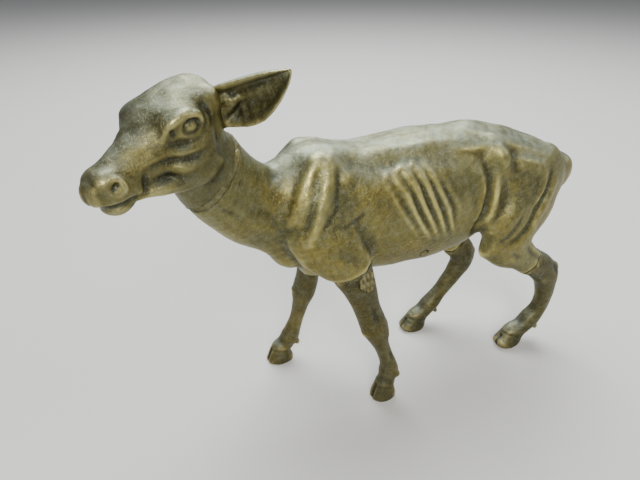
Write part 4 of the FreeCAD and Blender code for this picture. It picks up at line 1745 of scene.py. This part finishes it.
def patina_group(look: Patina) -> bpy.types.NodeTree:
    """Node group that works out colour, roughness and height of an old bronze surface.

    Args:
        look: Colours and amounts.
    Returns:
        The group, with outputs Color, Roughness, Metallic and Height.
    """
    tree = bpy.data.node_groups.new(look.name + " surface", "ShaderNodeTree")
    tree.interface.new_socket("Vector", in_out="INPUT", socket_type="NodeSocketVector")
    for name in ("Relief", "Form", "Up"):
        tree.interface.new_socket(name, in_out="INPUT", socket_type="NodeSocketFloat")
    tree.interface.new_socket("Color", in_out="OUTPUT", socket_type="NodeSocketColor")
    for name in ("Roughness", "Metallic", "Height"):
        tree.interface.new_socket(name, in_out="OUTPUT", socket_type="NodeSocketFloat")
    g = Graph(tree)
    into, out = g.add("NodeGroupInput"), g.add("NodeGroupOutput")
    where, relief, form, up = (into.outputs[i] for i in range(4))
    cloud = g.noise(where, look.clouds, 4.0, 0.6)
    patch = g.noise(where, look.patches, 4.0, 0.65)
    speck = g.noise(where, look.grain, 3.0, 0.7)
    fine = g.noise(where, look.grain * 2.2, 2.0, 0.6)
    uneven = g.sum("ADD", g.sum("MULTIPLY_ADD", patch, 0.55, -0.275),
                   g.sum("MULTIPLY_ADD", speck, 0.55, -0.275))
    bulge = g.sum("ADD", g.sum("MULTIPLY", relief, 1.5), g.sum("MULTIPLY", form, 1.0))
    height = g.sum("ADD", bulge, uneven)
    hollow = g.ramp(height, 0.04, -0.42)
    raised = g.ramp(height, 0.02, 0.62)
    rubbed = g.sum("MULTIPLY", raised, g.ramp(cloud, 0.30, 0.62, 0.45, 1.0), clamp=True)
    rubbed = g.sum("MULTIPLY", rubbed, look.rubbed, clamp=True)
    warmer = tuple(v * s for v, s in zip(look.middle, (1.25, 1.12, 0.8)))
    body = g.mix(g.ramp(cloud, 0.35, 0.65), opaque(look.middle), opaque(warmer))
    body = g.mix(g.ramp(speck, 0.38, 0.66, 0.0, 0.55), body, opaque(look.deep))
    body = g.mix(rubbed, body, opaque(look.bright))
    body = g.mix(g.sum("MULTIPLY", hollow, 0.88), body, opaque(look.deep))
    # Painted sheen: top-facing surfaces turn pale, standing in for the reflection of the overhead light; the
    # random pale bloom (haze) is added to it.
    sheen_and_bloom = g.sum("MULTIPLY", g.ramp(up, 0.35, 0.95), g.ramp(patch, 0.3, 0.7, 0.25, 0.8))
    haze = g.ramp(g.noise(where, look.haze, 4.0, 0.7), 0.46, 0.72, 0.0, 0.13)
    sheen_and_bloom = g.sum("MULTIPLY", g.sum("MAXIMUM", g.sum("MULTIPLY", sheen_and_bloom, 0.60), haze), look.dust_and_sheen, clamp=True)
    body = g.mix(sheen_and_bloom, body, opaque(look.sheen_and_bloom))
    grit = g.sum("MULTIPLY", g.ramp(g.noise(where, look.grain * 2.3, 2.0, 0.5), 0.60, 0.72),
                 g.ramp(height, 0.04, -0.22, 0.05, 0.8))
    grit = g.sum("MULTIPLY", grit, 0.7 * look.dust_and_sheen, clamp=True)
    body = g.mix(grit, body, opaque(look.grit))
    worn_rough = g.sum("MULTIPLY_ADD", rubbed, -0.10, look.rough)
    rough = g.sum("ADD", worn_rough, g.sum("MULTIPLY_ADD", fine, 0.22, -0.10))
    # The painted top sheen, the pale bloom and the dust specks raise the roughness and lower the metallic
    # value.
    rough = g.sum("ADD", rough, g.sum("MULTIPLY", g.sum("MAXIMUM", sheen_and_bloom, grit), 0.22), clamp=True)
    covered = g.sum("ADD", g.sum("MULTIPLY", sheen_and_bloom, 0.35), g.sum("MULTIPLY", grit, 0.8))
    metallic = g.sum("SUBTRACT", 0.96, covered, clamp=True)
    pits = g.sum("MULTIPLY", g.ramp(speck, 0.36, 0.50), 0.6)
    bumps = g.sum("ADD", g.sum("ADD", pits, g.sum("MULTIPLY", fine, 0.45)), g.sum("MULTIPLY", patch, 0.8))
    for name, value in (("Color", body), ("Roughness", rough), ("Metallic", metallic), ("Height", bumps)):
        g.feed(out.inputs[name], value)
    return tree


def patina(look: Patina) -> bpy.types.Material:
    """Makes the material of an old bronze surface.

    Args:
        look: Colours and amounts.
    Returns:
        The material.
    """
    material = bpy.data.materials.new(look.name)
    material.use_nodes = True
    g = Graph(material.node_tree)
    shader = material.node_tree.nodes["Principled BSDF"]
    surface = g.add("ShaderNodeGroup", node_tree=patina_group(look))
    g.feed(surface.inputs["Vector"], g.add("ShaderNodeTexCoord").outputs["Object"])
    for name in ("relief", "form", "up"):
        stored = g.add("ShaderNodeAttribute", attribute_name=name)
        g.feed(surface.inputs[name.capitalize()], stored.outputs["Fac"])
    bump = g.add("ShaderNodeBump")
    bump.inputs["Strength"].default_value = 0.85
    bump.inputs["Distance"].default_value = look.pit
    g.feed(bump.inputs["Height"], surface.outputs["Height"])
    for name, output in (("Base Color", "Color"), ("Roughness", "Roughness"), ("Metallic", "Metallic")):
        g.feed(shader.inputs[name], surface.outputs[output])
    g.feed(shader.inputs["Normal"], bump.outputs["Normal"])
    return material


# ------------------------------------------------------------------------------------
# The set
# ------------------------------------------------------------------------------------
@dataclass(frozen=True)
class Lamp:
    """A soft square light.

    Attributes:
        at: Where it stands, in metres.
        size: Length of its side.
        watts: Its power.
        colour: Its colour.
        aim: What it points at.
    """

    at: tuple
    size: float
    watts: float
    colour: tuple
    aim: tuple = (0.0, 0.0, 0.10)

    def build(self, name: str) -> bpy.types.Object:
        """Adds the light to the scene.

        Args:
            name: Its name.
        Returns:
            The light.
        """
        data = bpy.data.lights.new(name, "AREA")
        data.shape, data.size, data.energy, data.color = "SQUARE", self.size, self.watts, self.colour
        lamp = bpy.data.objects.new(name, data)
        bpy.context.collection.objects.link(lamp)
        lamp.location = self.at
        lamp.rotation_euler = (Vector(self.aim) - Vector(self.at)).to_track_quat("-Z", "Y").to_euler()
        return lamp


@dataclass(frozen=True)
class View:
    """The camera: where it is on the stand, where it looks, and its lens."""

    at: tuple = (-136.6, -198.6, 211.2)
    ahead: tuple = (0.348, 0.793, -0.5)
    lens: float = 30.375

    def build(self) -> bpy.types.Object:
        """Adds the camera and makes it the scene's own.

        Returns:
            The camera.
        """
        data = bpy.data.cameras.new("camera")
        data.lens, data.sensor_width = self.lens, 36.0
        data.clip_start, data.clip_end = 0.01, 20.0
        camera = bpy.data.objects.new("camera", data)
        bpy.context.collection.objects.link(camera)
        camera.location = DATUM.place(self.at)
        camera.rotation_euler = Vector(self.ahead).to_track_quat("-Z", "Y").to_euler()
        bpy.context.scene.camera = camera
        return camera


@dataclass
class Studio:
    """A plain pale floor and soft lights.

    Attributes:
        floor_size: Length of the floor's side, in metres.
        floor_colour: Colour of the floor.
        floor_rough: Its roughness.
        surround: Colour of the light from all round.
        surround_strength: Strength of that light.
        lamps: The lamps by name.
    """

    floor_size: float = 6.0
    floor_colour: tuple = (0.62, 0.61, 0.59)
    floor_rough: float = 0.8
    surround: tuple = (0.82, 0.85, 0.90)
    surround_strength: float = 0.26
    lamps: tuple = (
        ("overhead", Lamp((0.20, 0.55, 1.00), 0.9, 22.0, (0.97, 1.0, 1.0))),
        ("near_side", Lamp((-0.35, -0.85, 0.75), 0.5, 12.0, (1.0, 0.99, 0.95))),
        ("rear_side", Lamp((0.95, -0.35, 0.55), 0.5, 3.0, (0.97, 0.98, 1.0))),
    )

    def build(self) -> None:
        """Adds the floor, the lamps and the surrounding light."""
        bpy.ops.object.select_all(action="DESELECT")
        bpy.ops.mesh.primitive_plane_add(size=self.floor_size, location=(0, 0, 0))
        floor = bpy.context.object
        floor.name = "floor"
        bpy.ops.object.transform_apply(location=True, rotation=True, scale=True)
        material = bpy.data.materials.new("floor")
        material.use_nodes = True
        shader = material.node_tree.nodes["Principled BSDF"]
        shader.inputs["Base Color"].default_value = opaque(self.floor_colour)
        shader.inputs["Roughness"].default_value = self.floor_rough
        floor.data.materials.append(material)
        for name, lamp in self.lamps:
            lamp.build(name)
        world = bpy.data.worlds.new("surround")
        world.use_nodes = True
        light = world.node_tree.nodes["Background"]
        light.inputs["Color"].default_value = opaque(self.surround)
        light.inputs["Strength"].default_value = self.surround_strength
        bpy.context.scene.world = world


def add_up(piece: bpy.types.Object) -> None:
    """Stores how far each place faces upwards, which decides where the painted pale sheen lies on top-facing
    surfaces.

    Args:
        piece: The object.
    """
    mesh = piece.data
    normals = np.zeros(len(mesh.vertices) * 3, np.float32)
    mesh.vertices.foreach_get("normal", normals)
    layer = mesh.attributes.new("up", "FLOAT", "POINT")
    layer.data.foreach_set("value", normals[2::3].copy())


def limb_plan() -> tuple:
    """Limb parts that belong to the body.

    Returns:
        The sections, the joint or None, and the fillet of each.
    """
    return (
        (LEFT_FORE[:6], LEFT_FORE[4:], 3.2),
        (RIGHT_FORE[:6], RIGHT_FORE[4:], 3.2),
        (LEFT_THIGH, None, 3.5),
        (RIGHT_THIGH, None, 3.5),
        (LEFT_GASKIN + LEFT_HIND[1:2], LEFT_HIND, 3.5),
        (RIGHT_GASKIN + RIGHT_HIND[1:2], RIGHT_HIND, 3.5),
    )


def legs(body: Clay) -> tuple:
    """The four separately cast legs.

    Args:
        body: The body's clay, which their joints fit.
    Returns:
        The legs.
    """
    fore_near = (
        Stroke(C, ((-36, -30, 62), (-33, -30, 53)), 1.0, 0.5),
        Stroke(R, ((-38, -25, 47), (-36, -25, 44)), 2.4, 0.8),
        Stroke(C, ((-24.0, -28.5, 35), (-22.0, -28.5, 26)), 0.8, 0.5),
        Stroke(R, ((-25.5, -24, 52), (-24, -24, 47)), 2.0, 0.7),
    )
    hind_near = (
        Stroke(R, ((85, -20.5, 54), (84.5, -20.4, 50)), 2.6, 1.9),
        Stroke(C, ((78, -26, 56), (81, -26, 49)), 1.4, 0.9),
        Stroke(C, ((82.5, -24, 40), (83.5, -23.5, 30), (82, -23, 22)), 0.9, 0.6),
        Stroke(R, ((72, -25, 46),), 2.0, 0.6),
    )
    fore_far = tuple(
        Stroke(s.tool, tuple((x - 17 - (47 - z) * 0.45, -y - 3, z) for x, y, z in s.points),
               s.radius, s.height)
        for s in fore_near
    )
    hind_far = (
        Stroke(R, ((55, 15.4, 50), (54.5, 15.4, 46)), 2.6, 1.9),
        Stroke(C, ((50, 21, 42), (46, 21, 30), (40, 21.5, 22)), 0.9, 0.6),
    )
    return (
        Leg("left_foreleg", LEFT_FORE[4:], seed=61, body=body, under_body=True,
            patch=((-38.5, -30.0, 77.5), 5.0), strokes=fore_near),
        Leg("right_foreleg", RIGHT_FORE[4:], seed=62, body=body, strokes=fore_far),
        Leg("left_hindleg", LEFT_HIND, seed=63, body=body, strokes=hind_near),
        Leg("right_hindleg", RIGHT_HIND, seed=64, body=body, strokes=hind_far),
    )


def finished(casting: Casting, material: bpy.types.Material) -> bpy.types.Object:
    """Builds and dresses one casting.

    Args:
        casting: The casting.
        material: What it is made of.
    Returns:
        The new object.
    """
    piece = casting.build()
    casting.dress(piece, material)
    return piece


def main() -> None:
    """Builds and dresses every piece, then the set."""
    logging.basicConfig(level=logging.INFO, format="%(name)s: %(message)s")
    looks = (BRONZE, LIMB_BRONZE, HEAD_BRONZE, BRAZING, PLUGGED, PINNED)
    finish = Finish(*(patina(look) for look in looks))
    torso = Torso(limbs=limb_plan())
    made = [finished(torso, finish.bronze)]
    made += [finished(Plug(spec, torso.body), finish.plug) for spec in PLUGS]
    head = Head(torso.body)
    made.append(finished(head, finish.head))
    head.dress_ring(finish.braze)
    made.append(head.ring)
    for leg in legs(torso.body):
        made.append(finished(leg, finish.limb))
        leg.dress_ring(finish.braze)
        made.append(leg.ring)
    for ear in (
        Ear("left_ear", (-96.0, -19.0, 158.5), (-75.5, -36.0, 172.5), 8.6, 4.6, (-0.55, -0.82, -0.1)),
        Ear("right_ear", (-104.0, -2.5, 157.5), (-98.5, 24.0, 155.0), 8.0, 4.2, (-0.80, 0.0, -0.75),
            seed=35),
    ):
        made.append(finished(ear, finish.head))
    made.append(finished(Tail(), finish.bronze))
    for piece in made:
        add_up(piece)
        LOG.info("%s: %d faces, dressed", piece.name, len(piece.data.polygons))
    for name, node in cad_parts.items():
        if "dowel" in name or "pin" in name:
            node.data.materials.clear()
            node.data.materials.append(finish.pin)
    Studio().build()
    View().build()


if __name__ == "__main__":
    main()
